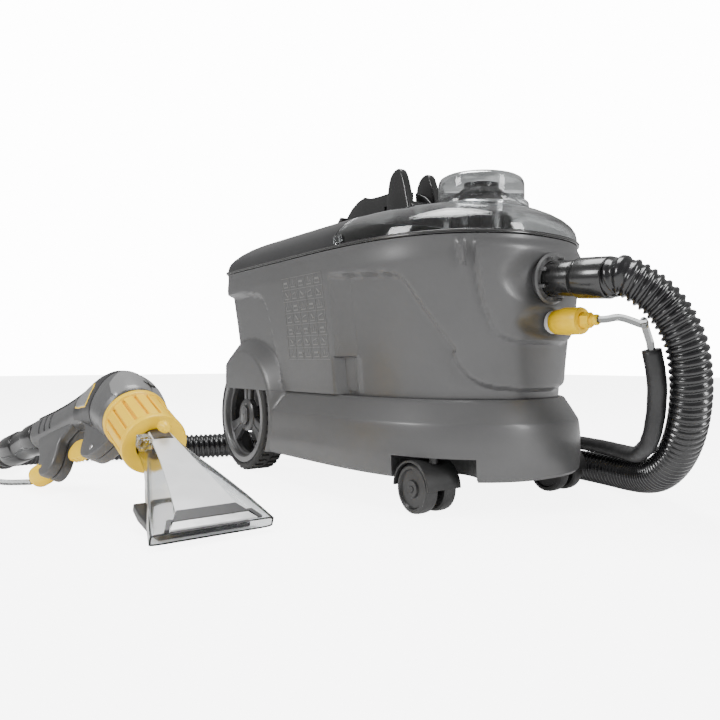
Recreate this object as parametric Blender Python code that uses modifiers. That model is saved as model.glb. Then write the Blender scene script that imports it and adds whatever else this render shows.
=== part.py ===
"""Spot extractor: carpet and upholstery cleaning machine with its suction hose and hand tool.

The machine stands on the floor at z = 0 with its nose towards -Y. The hand tool lies on its -X side.
Metres, +Z up. The origin is on the floor, at the middle of the machine and the hand tool together.
"""
from math import asin, atan2, cos, pi, radians, sin

import bmesh
import bpy
from mathutils import Euler, Matrix, Vector

# ---- driving dimensions ------------------------------------------------------------------------
MACHINE_X = 0.1682           # machine's middle plane, in the part's own frame
MACHINE_Y = 0.0318           # machine's reference line across, in the part's own frame
GAP = 0.0003                 # clearance between touching pieces
WALL = 0.003                 # moulded wall

BODY_HALF_WIDTH = 0.164      # at the rim
BODY_NOSE = -0.339
BODY_REAR = 0.267
TAPER_START = 0.0            # where the straight sides begin to close in towards the nose
BASE_BOTTOM = 0.040
WAIST = 0.1363
RIM = 0.332
LID_SPLIT = -0.110           # clear lid in front of this line, dark cover behind it
PLATEAU = 0.386              # flat top of lid and cover

WHEEL_Y = 0.190
WHEEL_R = 0.092
WHEEL_FACE = 0.162
WHEEL_WIDTH = 0.044
ARCH_R = 0.1013
CASTOR_X = 0.118
CASTOR_Y = -0.2625
CASTOR_TRAIL = 0.0125
CASTOR_WHEEL_R = 0.030
CASTOR_POCKET_R = 0.055

DOME_Y = -0.221
DOME_R = 0.058
DOME_TOP = 0.4275
HORN_TOP = 0.469
HANDLE_PIVOT = (0.0, 0.121, 0.397)

PORT_X = 0.003
PORT_Z = 0.282
PORT_TILT = radians(4.4)
PORT_FACE = -0.3415
HOSE_R = 0.0225
SLEEVE_R = 0.0105
SPRAY_HOSE_R = 0.0042
COUPLING_X = 0.012
COUPLING_Z = 0.230
SOCKET_FACE = -0.3335

TOOL_PLACE = (-0.378, -0.008, 0.094)   # centre of the union ring, in the machine's frame
TOOL_TILT = radians(20.4)
TOOL_YAW = radians(1.6)
GUN_ROLL = radians(29.0)
UNION_R = 0.039
LIP_HALF_WIDTH = 0.066
CUFF_START = (0.0, 0.2355, -0.1275)      # hose cuff of the gun, in the gun's own frame
CUFF_END = (0.0, 0.3012, -0.1920)
CUFF_LINE = (0.0, 0.7136, -0.7006)
COUPLING_START = (0.0, 0.1500, -0.1400)  # spray coupling of the gun, in the gun's own frame
COUPLING_LINE = (0.0, 0.6157, -0.7880)

# ---- colours: colour, roughness, metallic ------------------------------------------------------
BODY_GREY = ((0.17, 0.17, 0.17), 0.45, 0.0)
DARK_GREY = ((0.06, 0.06, 0.065), 0.5, 0.0)
TOOL_GREY = ((0.12, 0.12, 0.12), 0.4, 0.0)
BLACK = ((0.012, 0.012, 0.012), 0.35, 0.0)
RUBBER = ((0.015, 0.015, 0.015), 0.7, 0.0)
YELLOW = ((0.85, 0.60, 0.01), 0.35, 0.0)
CLEAR = ((0.75, 0.78, 0.80), 0.1, 0.0)
STEEL = ((0.6, 0.6, 0.6), 0.3, 1.0)


# ---- general modelling steps -------------------------------------------------------------------
def clear_scene():
    for scene_object in list(bpy.data.objects):
        bpy.data.objects.remove(scene_object, do_unlink=True)


def new_collection(name, hidden=False):
    collection = bpy.data.collections.new(name)
    collection.hide_render = hidden
    bpy.context.scene.collection.children.link(collection)
    return collection


def new_material(name, finish):
    colour, roughness, metallic = finish
    material = bpy.data.materials.new(name)
    material.use_nodes = True
    shader = material.node_tree.nodes["Principled BSDF"]
    shader.inputs["Base Color"].default_value = (*colour, 1.0)
    shader.inputs["Roughness"].default_value = roughness
    shader.inputs["Metallic"].default_value = metallic
    return material


def new_empty(name, parent=None, location=(0, 0, 0), rotation=(0, 0, 0), order="XYZ"):
    empty = bpy.data.objects.new(name, None)
    empty.rotation_mode = order
    empty.location = location
    empty.rotation_euler = rotation
    empty.parent = parent
    PARTS.objects.link(empty)
    return empty


def mesh_object(name, bm, parent, finish=None, location=(0, 0, 0), rotation=(0, 0, 0), smooth=None):
    """Turn a bmesh into a named object. With no finish it is a cutter or a guide."""
    mesh = bpy.data.meshes.new(name)
    bmesh.ops.recalc_face_normals(bm, faces=bm.faces)
    bm.to_mesh(mesh)
    bm.free()
    piece = bpy.data.objects.new(name, mesh)
    piece.parent = parent
    piece.location = location
    piece.rotation_euler = rotation
    if finish is None:
        CUTTERS.objects.link(piece)
        piece.hide_render = True
        piece.display_type = "WIRE"
    else:
        PARTS.objects.link(piece)
        mesh.materials.append(new_material(name, finish))
    if smooth is not None:
        mesh.shade_smooth()
        mesh.set_sharp_from_angle(angle=smooth)
    return piece


def box_bmesh(size, centre=(0, 0, 0)):
    bm = bmesh.new()
    bmesh.ops.create_cube(bm, size=1.0)
    bmesh.ops.scale(bm, vec=size, verts=bm.verts)
    bmesh.ops.translate(bm, vec=centre, verts=bm.verts)
    return bm


def rod_bmesh(radius, start, end, segments=16, end_radius=None):
    """A cylinder or cone between two points."""
    start = Vector(start)
    along = Vector(end) - start
    bm = bmesh.new()
    bmesh.ops.create_cone(bm, cap_ends=True, segments=segments, radius1=radius,
                          radius2=radius if end_radius is None else end_radius, depth=along.length)
    turn = Vector((0, 0, 1)).rotation_difference(along).to_matrix().to_4x4()
    bmesh.ops.transform(bm, matrix=Matrix.Translation(start + along / 2) @ turn, verts=bm.verts)
    return bm


def outline_bmesh(points, half_thickness, centre=(0, 0, 0), plane="YZ"):
    """A flat outline given two coordinates per point, thickened to both sides of its plane."""
    bm = bmesh.new()
    low, high = [], []
    for first, second in points:
        for side, corners in ((-half_thickness, low), (half_thickness, high)):
            place = {"YZ": (side, first, second), "XY": (first, second, side)}[plane]
            corners.append(bm.verts.new(Vector(place) + Vector(centre)))
    count = len(points)
    bm.faces.new(low)
    bm.faces.new(list(reversed(high)))
    for k in range(count):
        bm.faces.new((low[k], high[k], high[(k + 1) % count], low[(k + 1) % count]))
    return bm


def loft_bmesh(rings, cap_start=True, cap_end=True, closed=True):
    """Skin a list of equal rings of points."""
    bm = bmesh.new()
    rows = [[bm.verts.new(point) for point in ring] for ring in rings]
    count = len(rows[0])
    for lower, upper in zip(rows, rows[1:]):
        for k in range(count if closed else count - 1):
            bm.faces.new((lower[k], lower[(k + 1) % count], upper[(k + 1) % count], upper[k]))
    if cap_start:
        bm.faces.new(list(reversed(rows[0])))
    if cap_end:
        bm.faces.new(rows[-1])
    return bm


def turned(name, profile, steps, parent, finish, location=(0, 0, 0), rotation=(0, 0, 0), ring=False):
    """Screw a profile of (radius, height) points about local Z. A ring's profile closes on itself."""
    mesh = bpy.data.meshes.new(name)
    points = [(radius, 0.0, height) for radius, height in profile]
    edges = [(k, k + 1) for k in range(len(points) - 1)]
    if ring:
        edges.append((len(points) - 1, 0))
    mesh.from_pydata(points, edges, [])
    piece = bpy.data.objects.new(name, mesh)
    piece.parent = parent
    piece.location = location
    piece.rotation_euler = rotation
    if finish is None:
        CUTTERS.objects.link(piece)
        piece.hide_render = True
        piece.display_type = "WIRE"
    else:
        PARTS.objects.link(piece)
        mesh.materials.append(new_material(name, finish))
    screw = piece.modifiers.new("turn", "SCREW")
    screw.angle = 2 * pi
    screw.steps = steps
    screw.render_steps = steps
    screw.use_merge_vertices = True
    screw.merge_threshold = 0.00002
    screw.use_smooth_shade = True
    return piece


def solidify(piece, thickness):
    shell = piece.modifiers.new("wall", "SOLIDIFY")
    shell.thickness = thickness
    shell.offset = -1.0
    shell.use_even_offset = True


def bevel(piece, width, segments=2, angle=radians(40)):
    edge = piece.modifiers.new("rounded edges", "BEVEL")
    edge.width = width
    edge.segments = segments
    edge.limit_method = "ANGLE"
    edge.angle_limit = angle


def cut(piece, cutter, operation="DIFFERENCE"):
    step = piece.modifiers.new(operation.lower(), "BOOLEAN")
    step.operation = operation
    step.object = cutter
    step.solver = "EXACT"


def slice_bmesh(bm, point, normal, fill=False):
    """Keep what lies behind a plane. Filling closes the cut."""
    everything = bm.verts[:] + bm.edges[:] + bm.faces[:]
    result = bmesh.ops.bisect_plane(bm, geom=everything, plane_co=point, plane_no=normal, clear_outer=True)
    if fill:
        rim = [part for part in result["geom_cut"] if isinstance(part, bmesh.types.BMEdge)]
        bmesh.ops.edgeloop_fill(bm, edges=rim)
    return bm


# ---- the machine's plan ------------------------------------------------------------------------
NOSE_STEPS = 9
CORNER_STEPS = 3
NOSE_POWER = 3.3             # how late the nose closes in
SIDE_POWER = 2.3             # how full the nose is


def plan(half_width, nose, rear, height, corner=0.030):
    """The machine's outline from above: round nose, straight sides, two rounded rear corners."""
    span = TAPER_START - nose
    first = 0.0
    if rear - corner < TAPER_START:
        first = asin(((TAPER_START - rear + corner) / span) ** (NOSE_POWER / 2))
    half = []
    for k in range(NOSE_STEPS + 1):
        angle = pi / 2 + (first - pi / 2) * k / NOSE_STEPS
        across = half_width * max(cos(angle), 0.0) ** (2 / SIDE_POWER)
        half.append((across, TAPER_START - span * sin(angle) ** (2 / NOSE_POWER)))
    side = half[-1][0]
    for k in range(1, CORNER_STEPS + 1):
        angle = k * pi / 2 / CORNER_STEPS
        half.append((side - corner + corner * cos(angle), rear - corner + corner * sin(angle)))
    left = [(-x, y) for x, y in reversed(half[1:])]
    return [(x, y, height) for x, y in half + left]


def inset(profile, amount):
    """The same stack of plans, drawn in by an amount all round."""
    return [(half_width - amount, nose + amount, rear - amount, z) for half_width, nose, rear, z in profile]


BASE_PLANS = [(0.152, -0.336, 0.2600, BASE_BOTTOM), (0.1575, -0.341, 0.2625, 0.060),
              (0.1605, -0.345, 0.2640, 0.102), (0.1595, -0.344, 0.2635, 0.108),
              (0.1500, -0.335, 0.2625, 0.1215), (0.1405, -0.3250, 0.2620, WAIST - GAP)]
TANK_PLANS = [(0.1400, -0.3245, 0.2620, WAIST), (0.1450, -0.327, 0.2622, 0.180),
              (0.1535, -0.333, 0.2645, 0.250), (0.1610, -0.338, 0.2665, 0.305),
              (BODY_HALF_WIDTH, BODY_NOSE, BODY_REAR, RIM)]
TOP_PLANS = [(0.1635, -0.3385, 0.2665, 0.3375), (0.1625, -0.3370, 0.2600, 0.350),
             (0.1520, -0.3240, 0.2350, 0.364), (0.1300, -0.2980, 0.1950, 0.378),
             (0.0950, -0.2760, 0.1600, PLATEAU)]


def plan_stack(profile):
    return [plan(*row) for row in profile]


def wheel_well(parent, name, volume, sides):
    """The inner wall of both rear wheel arches, kept inside the housing's own volume."""
    wells = []
    for side in sides:
        bm = rod_bmesh(ARCH_R + WALL, (side * 0.107, WHEEL_Y, WHEEL_R), (side * 0.162, WHEEL_Y, WHEEL_R), 32)
        well = mesh_object(name + ("_left" if side < 0 else "_right"), bm, parent)
        cut(well, volume, "INTERSECT")
        wells.append(well)
    return wells


def wheel_arch_cutters(parent, name):
    cutters = []
    for side in (-1, 1):
        bm = rod_bmesh(ARCH_R, (side * 0.110, WHEEL_Y, WHEEL_R), (side * 0.22, WHEEL_Y, WHEEL_R), 32)
        cutters.append(mesh_object(name + str(side), bm, parent))
    return cutters


def make_base_housing(frame):
    """Lower housing: floor, flared skirt, wheel wells and castor pockets."""
    skin = mesh_object("base_housing", loft_bmesh(plan_stack(BASE_PLANS), cap_end=False), frame, BODY_GREY)
    solidify(skin, WALL)
    low = [row for row in inset(BASE_PLANS, 0.0015)]
    low[0] = low[0][:3] + (BASE_BOTTOM + 0.0015,)
    volume = mesh_object("base_volume", loft_bmesh(plan_stack(low)), frame)
    for well in wheel_well(frame, "base_well", volume, (-1, 1)):
        cut(skin, well, "UNION")
    for side in (-1, 1):
        place = (side * CASTOR_X, CASTOR_Y)
        pocket = rod_bmesh(CASTOR_POCKET_R + WALL, (*place, BASE_BOTTOM - 0.01), (*place, 0.0705), 32)
        cup = mesh_object("castor_cup" + str(side), pocket, frame)
        cut(cup, volume, "INTERSECT")
        cut(skin, cup, "UNION")
    for cutter in wheel_arch_cutters(frame, "base_arch"):
        cut(skin, cutter)
    for side in (-1, 1):
        place = (side * CASTOR_X, CASTOR_Y)
        hollow = rod_bmesh(CASTOR_POCKET_R, (*place, 0.0), (*place, 0.0675), 32)
        cut(skin, mesh_object("castor_hollow" + str(side), hollow, frame))
        bore = rod_bmesh(0.0062, (*place, 0.05), (*place, 0.09), 16)
        cut(skin, mesh_object("castor_bore" + str(side), bore, frame))
    axle_bore = rod_bmesh(0.0055, (-0.13, WHEEL_Y, WHEEL_R), (0.13, WHEEL_Y, WHEEL_R), 16)
    cut(skin, mesh_object("axle_bore", axle_bore, frame))
    gland_bore = rod_bmesh(0.0083, (0.07, 0.24, 0.085), (0.07, 0.30, 0.085), 16)
    cut(skin, mesh_object("gland_bore", gland_bore, frame))
    return skin


def make_rest_pad(frame):
    """Flat pad under the floor of the base, where a dolly or a shelf peg takes the weight."""
    bm = box_bmesh((0.090, 0.090, 0.006), (0, -0.02, BASE_BOTTOM - GAP - 0.003))
    pad = mesh_object("underside_pad", bm, frame, DARK_GREY)
    bevel(pad, 0.001, 1)


def make_fresh_water_tank(frame):
    """Upper housing, which is also the fresh water tank: double-curved shell, open at the rim."""
    skin = mesh_object("fresh_water_tank", loft_bmesh(plan_stack(TANK_PLANS), cap_end=False), frame, BODY_GREY)
    solidify(skin, WALL)
    low = inset(TANK_PLANS, 0.0015)
    low[0] = low[0][:3] + (WAIST + 0.0015,)
    volume = mesh_object("tank_volume", loft_bmesh(plan_stack(low)), frame)
    for well in wheel_well(frame, "tank_well", volume, (-1, 1)):
        cut(skin, well, "UNION")
    for side in (-1, 1):
        flare = rod_bmesh(0.138, (side * 0.136, WHEEL_Y, WHEEL_R), (side * 0.1615, WHEEL_Y, WHEEL_R), 32, 0.108)
        flare = slice_bmesh(flare, (0, 0, WAIST + 0.0004), (0, 0, -1), fill=True)
        flare = slice_bmesh(flare, (0, BODY_REAR - 0.006, 0), (0, 1, 0), fill=True)
        cut(skin, mesh_object("arch_flare" + str(side), flare, frame), "UNION")
    for cutter in wheel_arch_cutters(frame, "tank_arch"):
        cut(skin, cutter)
    centre = Vector((PORT_X, PORT_FACE, PORT_Z))
    bore = rod_bmesh(0.0266, centre - port_axis() * 0.05, centre + port_axis() * 0.03, 28)
    cut(skin, mesh_object("port_hole", bore, frame))
    socket = rod_bmesh(0.0113, (COUPLING_X, -0.30, COUPLING_Z), (COUPLING_X, -0.35, COUPLING_Z), 16)
    cut(skin, mesh_object("socket_hole", socket, frame))
    return skin


def make_rim_seal(frame):
    """Black gasket between the housing's rim and the lid and cover."""
    outer = plan(0.1655, -0.3405, 0.2680, RIM + 0.0008)
    inner = plan(0.1550, -0.3300, 0.2580, RIM + 0.0008)
    rise = Vector((0, 0, 0.0030))
    rings = [[Vector(p) for p in outer], [Vector(p) + rise for p in outer],
             [Vector(p) + rise for p in inner], [Vector(p) for p in inner]]
    bm = loft_bmesh(rings + [rings[0]], False, False)
    bmesh.ops.remove_doubles(bm, verts=bm.verts, dist=0.00001)
    mesh_object("rim_seal", bm, frame, BLACK)


def make_rear_cover(frame):
    """Dark cover over the motor bay, behind the clear lid, with two switch wells in its slope."""
    bm = slice_bmesh(loft_bmesh(plan_stack(TOP_PLANS), cap_start=False), (0, LID_SPLIT + 0.0005, 0), (0, -1, 0))
    cover = mesh_object("rear_cover", bm, frame, DARK_GREY)
    solidify(cover, 0.0025)
    for side in (-1, 1):
        well = box_bmesh((0.0246, 0.0336, 0.030), (side * 0.030, 0.2146, 0.372))
        cut(cover, mesh_object("switch_well" + str(side), well, frame))
    for side in (-1, 1):
        lug = box_bmesh((0.008, 0.020, 0.0170), (side * 0.0400, HANDLE_PIVOT[1], 0.3938))
        cut(cover, mesh_object("handle_lug" + str(side), lug, frame), "UNION")
    pin_bore = rod_bmesh(0.0033, (-0.06, *HANDLE_PIVOT[1:]), (0.06, *HANDLE_PIVOT[1:]), 12)
    cut(cover, mesh_object("pin_bore", pin_bore, frame))


def make_motor_bay(frame):
    """What works inside: suction turbine, spray pump, duct, strainer, axle and cable gland."""
    turned("suction_turbine", [(0.0, 0.078), (0.030, 0.078), (0.034, 0.060), (0.058, 0.058), (0.060, 0.030),
                               (0.046, 0.026), (0.046, 0.0), (0.0, 0.0)], 24, frame, STEEL, (0, 0.065, 0.045))
    pump = mesh_object("water_pump", box_bmesh((0.052, 0.090, 0.050), (0.0, -0.075, 0.0705)), frame, DARK_GREY)
    bevel(pump, 0.006, 2)
    turned("suction_duct", [(0.0225, 0.175), (0.0225, 0.0), (0.0195, 0.0), (0.0195, 0.175)], 20, frame,
           BLACK, (0, 0.065, 0.1402), ring=True)
    turned("water_strainer", [(0.0, 0.030), (0.010, 0.030), (0.012, 0.0), (0.0, 0.0)], 16, frame,
           YELLOW, (0.060, -0.020, 0.1402))
    mesh_object("rear_axle", rod_bmesh(0.0050, (-0.1500, WHEEL_Y, WHEEL_R), (0.1500, WHEEL_Y, WHEEL_R), 16),
                frame, STEEL, smooth=radians(40))
    turned("cable_gland", [(0.0, 0.016), (0.0060, 0.016), (0.0080, 0.0), (0.0080, -0.012), (0.0, -0.012)], 16,
           frame, BLACK, (0.07, 0.2650, 0.085), (radians(-90), 0, 0))


def make_port_and_socket(frame):
    """Suction hose port with its ring of claws, and the socket of the spray coupling."""
    claws = 8
    port = turned("hose_port", [(0.0286, 0.0020), (0.0286, -0.0020), (0.0260, -0.0020), (0.0260, -0.030),
                                (0.0220, -0.030), (0.0220, 0.0020)], 28, frame, BODY_GREY,
                  (PORT_X, PORT_FACE, PORT_Z), (radians(90) + PORT_TILT, 0, 0), ring=True)
    for k in range(claws):
        angle = 2 * pi * k / claws
        claw = box_bmesh((0.0030, 0.0050, 0.0090), (0.0262, 0, 0.0055))
        bmesh.ops.rotate(claw, cent=(0, 0, 0), matrix=Matrix.Rotation(angle, 3, "Z"), verts=claw.verts)
        cutter = mesh_object("port_claw" + str(k), claw, frame, None, port.location, port.rotation_euler)
        cut(port, cutter, "UNION")
    turned("spray_socket", [(0.0, 0.0300), (0.0050, 0.0300), (0.0050, 0.0045), (0.0142, 0.0045),
                            (0.0142, 0.0003), (0.0110, 0.0003), (0.0110, -0.020), (0.0, -0.020)], 20, frame,
           CLEAR, (COUPLING_X, SOCKET_FACE, COUPLING_Z), (radians(90), 0, 0))


def make_dirty_tank(frame):
    """Dirty water tank: a tub that lifts out of the front of the machine, with an inlet at its nose."""
    rows = [(0.108, -0.276, -0.140, 0.1480), (0.118, -0.288, -0.134, 0.170), (0.134, -0.304, -0.124, 0.318),
            (0.1510, -0.3260, -0.1145, 0.3325), (0.1510, -0.3260, -0.1145, 0.3350)]
    rings = [plan(*row, corner=0.020) for row in rows]
    tub = mesh_object("dirty_tank", loft_bmesh(rings, cap_end=False), frame, CLEAR)
    solidify(tub, 0.0025)
    inlet = rod_bmesh(0.020, (PORT_X, -0.26, PORT_Z), (PORT_X, -0.33, PORT_Z), 20)
    cut(tub, mesh_object("tank_inlet", inlet, frame))


def make_lid(frame):
    """Clear lid with its raised inspection dome, and the float cage below it."""
    bm = slice_bmesh(loft_bmesh(plan_stack(TOP_PLANS), cap_start=False), (0, LID_SPLIT - 0.0005, 0), (0, 1, 0))
    lid = mesh_object("tank_lid", bm, frame, CLEAR)
    solidify(lid, 0.0025)
    hole = rod_bmesh(0.0500, (0, DOME_Y, 0.33), (0, DOME_Y, 0.40), 32)
    cut(lid, mesh_object("dome_hole", hole, frame))
    base = PLATEAU + GAP
    turned("inspection_dome", [(0.0, DOME_TOP), (0.048, DOME_TOP), (0.0545, DOME_TOP - 0.0025),
                               (DOME_R, DOME_TOP - 0.010), (DOME_R, base + 0.010), (0.064, base + 0.006),
                               (0.064, base), (0.0530, base), (DOME_R - 0.0025, base + 0.012),
                               (DOME_R - 0.0025, DOME_TOP - 0.011), (0.0470, DOME_TOP - 0.0025),
                               (0.0, DOME_TOP - 0.0025)], 24, frame, CLEAR, (0, DOME_Y, 0))
    turned("float_cage", [(0.0220, 0.4180), (0.0220, 0.4080), (0.0420, 0.3840), (0.0420, 0.3000),
                          (0.0390, 0.3000), (0.0390, 0.3830), (0.0190, 0.4070), (0.0190, 0.4180)], 20, frame,
           BLACK, (0, DOME_Y, 0), ring=True)


def make_float(frame):
    """Float that shuts the suction when the dirty tank is full."""
    turned("shut_off_float", [(0.0, 0.3500), (0.026, 0.3480), (0.033, 0.3400), (0.033, 0.3120), (0.026, 0.3040),
                              (0.0, 0.3030)], 16, frame, YELLOW, (0, DOME_Y, 0))


def make_carry_handle(frame):
    """Carrying handle, hinged at its rear end, with two horns that hold the hand tool."""
    pivot_y, pivot_z = HANDLE_PIVOT[1:]
    hinge = new_empty("handle_hinge", frame, HANDLE_PIVOT)
    arm = [(-0.106, 0.3875), (0.100, 0.3875), (0.115, 0.3885), (0.1283, 0.3905), (0.1283, 0.4035),
           (0.109, 0.4135), (0.080, 0.4400), (0.041, 0.4515), (0.028, 0.4455), (-0.055, 0.4445),
           (-0.106, 0.4100)]
    arm = [(y - pivot_y, z - pivot_z) for y, z in arm]
    body = mesh_object("carry_handle", outline_bmesh(arm, 0.0270), hinge, BLACK)
    finger_gap = box_bmesh((0.08, 0.034, 0.026), (0, -0.032 - pivot_y, 0.412 - pivot_z))
    cut(body, mesh_object("finger_gap", finger_gap, hinge))
    for side in (-1, 1):
        waist = box_bmesh((0.030, 0.150, 0.080), (side * 0.0290, 0.020 - pivot_y, 0.437 - pivot_z))
        cut(body, mesh_object("handle_waist" + str(side), waist, hinge))
    cradle = box_bmesh((0.0340, 0.100, 0.060), (0, -0.105 - pivot_y, 0.4500 - pivot_z))
    cut(body, mesh_object("cradle_gap", cradle, hinge))
    horn = [(-0.1060, 0.3880), (-0.0500, 0.3880), (-0.0480, 0.4200), (-0.0540, 0.4530), (-0.0660, 0.4680),
            (-0.0790, HORN_TOP), (-0.0880, 0.4580), (-0.0975, 0.4300)]
    horn = [(y - pivot_y, z - pivot_z) for y, z in horn]
    for side in (-1, 1):
        blade = outline_bmesh(horn, 0.0065, (side * 0.0270, 0, 0))
        cut(body, mesh_object("horn" + str(side), blade, hinge), "UNION")
    bore = rod_bmesh(0.0033, (-0.06, 0, 0), (0.06, 0, 0), 12)
    cut(body, mesh_object("handle_bore", bore, hinge))
    mesh_object("handle_pin", rod_bmesh(0.0030, (-0.0440, *HANDLE_PIVOT[1:]), (0.0440, *HANDLE_PIVOT[1:]), 12),
                frame, STEEL, smooth=radians(40))


def make_switches(frame):
    """Two rocker switches in the slope of the rear cover: suction and spray."""
    for side, name in ((-1, "suction_switch"), (1, "spray_switch")):
        rocker = [(-0.0150, 0.0030), (0.0, 0.0012), (0.0150, 0.0030), (0.0150, -0.0060), (0.0080, -0.0110),
                  (-0.0080, -0.0110), (-0.0150, -0.0060)]
        pivot = new_empty(name + "_pivot", frame, (side * 0.030, 0.2146, 0.3720), (radians(-24), 0, 0))
        mesh_object(name, outline_bmesh(rocker, 0.0110), pivot, YELLOW if side > 0 else BLACK)


def make_rear_wheels(frame):
    """Rear wheels: treaded tyre on a three-spoke rim, with a clipped hub cap."""
    half = WHEEL_WIDTH / 2
    for side, name in ((-1, "left"), (1, "right")):
        centre = (side * (WHEEL_FACE - half), WHEEL_Y, WHEEL_R)
        turn = (0, radians(90) * side, 0)
        hub = new_empty("wheel_" + name, frame, centre, turn)
        turned("tyre_" + name, [(0.0800, half), (0.0880, half - 0.001), (WHEEL_R, half - 0.007),
                                (WHEEL_R, -half + 0.007), (0.0880, -half + 0.001), (0.0800, -half)],
               28, hub, RUBBER, ring=True)
        rim = turned("rim_" + name, [(0.0, half - 0.0060), (0.0200, half - 0.0060), (0.0640, half - 0.0100),
                                     (0.0680, half - 0.001), (0.0797, half - 0.001), (0.0797, -half + 0.001),
                                     (0.0760, -half + 0.001), (0.0700, half - 0.0180), (0.0200, half - 0.0140),
                                     (0.0140, -half + 0.002), (0.0, -half + 0.002)], 28, hub, DARK_GREY)
        for k in range(3):
            middle = radians(120 * k) + (radians(60) if side < 0 else 0)
            window = sector_bmesh(0.0270, 0.0620, middle - radians(43), middle + radians(43), 0.05)
            cut(rim, mesh_object("window_" + name + str(k), window, hub))
        bore = rod_bmesh(0.0053, (0, 0, -0.05), (0, 0, half - 0.0095), 16)
        cut(rim, mesh_object("wheel_bore_" + name, bore, hub))
        cap = turned("hub_cap_" + name, [(0.0, half - 0.0025), (0.0130, half - 0.0035), (0.0150, half - 0.0057),
                                         (0.0, half - 0.0057)], 12, hub, TOOL_GREY)
        cap.scale = (1.25, 0.85, 1.0)


def sector_bmesh(inner, outer, start, end, depth, steps=4):
    """A thick ring sector about local Z, used to open the windows of a wheel."""
    angles = [start + (end - start) * k / steps for k in range(steps + 1)]
    points = [(outer * cos(a), outer * sin(a)) for a in angles]
    points += [(inner * cos(a), inner * sin(a)) for a in reversed(angles)]
    return outline_bmesh(points, depth, plane="XY")


def make_castors(frame):
    """Front twin-wheel castors: hooded fork on a swivel stem, two wheels on one axle."""
    for side, name in ((-1, "left"), (1, "right")):
        swivel = new_empty("swivel_" + name, frame, (side * CASTOR_X, CASTOR_Y, 0))
        axle = (0, CASTOR_TRAIL, CASTOR_WHEEL_R)
        hood = rod_bmesh(0.0345, (-0.0255, *axle[1:]), (0.0255, *axle[1:]), 28)
        hood = slice_bmesh(hood, (0, 0, 0.0310), (0, 0, -1), fill=True)
        fork = mesh_object("castor_fork_" + name, hood, swivel, BLACK)
        for lane in (-1, 1):
            pocket = rod_bmesh(0.0315, (lane * 0.0040, *axle[1:]), (lane * 0.0300, *axle[1:]), 28)
            cut(fork, mesh_object("fork_pocket_" + name + str(lane), pocket, swivel))
        web = box_bmesh((0.0078, 0.030, 0.026), (0, CASTOR_TRAIL, 0.0300))
        cut(fork, mesh_object("fork_web_" + name, web, swivel), "UNION")
        stem = rod_bmesh(0.0058, (0, 0, 0.0608), (0, 0, 0.0850), 16)
        cut(fork, mesh_object("fork_stem_" + name, stem, swivel), "UNION")
        pin = rod_bmesh(0.0038, (-0.0235, *axle[1:]), (0.0235, *axle[1:]), 12)
        cut(fork, mesh_object("fork_axle_" + name, pin, swivel), "UNION")
        for lane, place in ((-1, "outer" if side < 0 else "inner"), (1, "inner" if side < 0 else "outer")):
            turned("castor_wheel_" + name + "_" + place,
                   [(0.0265, 0.0095), (CASTOR_WHEEL_R, 0.0060), (CASTOR_WHEEL_R, -0.0060), (0.0265, -0.0095),
                    (0.0041, -0.0095), (0.0041, 0.0095)],
                   18, swivel, RUBBER, (lane * 0.0143, *axle[1:]), (0, radians(90), 0), ring=True)


# ---- couplings, cuffs and hoses ----------------------------------------------------------------
def make_couplings(frame):
    """Quick coupling of the spray hose at the machine: sliding sleeve on a hose tail."""
    place = (COUPLING_X, SOCKET_FACE, COUPLING_Z)
    towards = (radians(90), 0, 0)
    turned("machine_coupling", [(0.0130, 0.0480), (0.0162, 0.0450), (0.0166, 0.0250), (0.0150, 0.0080),
                                (0.0142, 0.0055), (0.0100, 0.0055), (0.0100, 0.0480)], 20, frame, YELLOW,
           place, towards, ring=True)
    turned("machine_hose_tail", [(0.0, 0.0700), (0.0052, 0.0700), (0.0060, 0.0660), (0.0060, 0.0470),
                                 (0.0092, 0.0460), (0.0092, 0.0310), (0.0, 0.0310)], 12, frame, YELLOW,
           place, towards)


def port_axis():
    return Euler((radians(90) + PORT_TILT, 0, 0)).to_matrix() @ Vector((0, 0, 1))


def make_hose_cuff(frame):
    """Swivel cuff of the suction hose at the machine's port."""
    turned("hose_cuff", [(0.0214, -0.0250), (0.0214, 0.0400), (0.0238, 0.0420), (0.0240, 0.0850),
                         (0.0225, 0.0870), (0.0190, 0.0870), (0.0190, -0.0250)][::-1], 24, frame, BLACK,
           (PORT_X, PORT_FACE, PORT_Z), (radians(90) + PORT_TILT, 0, 0), ring=True)


def smooth_route(points, spacing):
    """Points at even spacing along a smooth curve through a hand-chosen route."""
    route = [Vector(point) for point in points]
    ends = [route[0] * 2 - route[1]] + route + [route[-1] * 2 - route[-2]]
    dense = []
    for a, b, c, d in zip(ends, ends[1:], ends[2:], ends[3:]):
        for k in range(24):
            t = k / 24
            dense.append(0.5 * (2 * b + (c - a) * t + (2 * a - 5 * b + 4 * c - d) * t ** 2
                                + (3 * b - a - 3 * c + d) * t ** 3))
    dense.append(route[-1])
    lengths = [0.0]
    for a, b in zip(dense, dense[1:]):
        lengths.append(lengths[-1] + (b - a).length)
    count = max(3, round(lengths[-1] / spacing))
    even, k = [], 0
    for j in range(count + 1):
        target = lengths[-1] * j / count
        while k < len(dense) - 2 and lengths[k + 1] < target:
            k += 1
        share = (target - lengths[k]) / max(lengths[k + 1] - lengths[k], 1e-9)
        even.append(dense[k].lerp(dense[k + 1], min(share, 1.0)))
    return even


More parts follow.
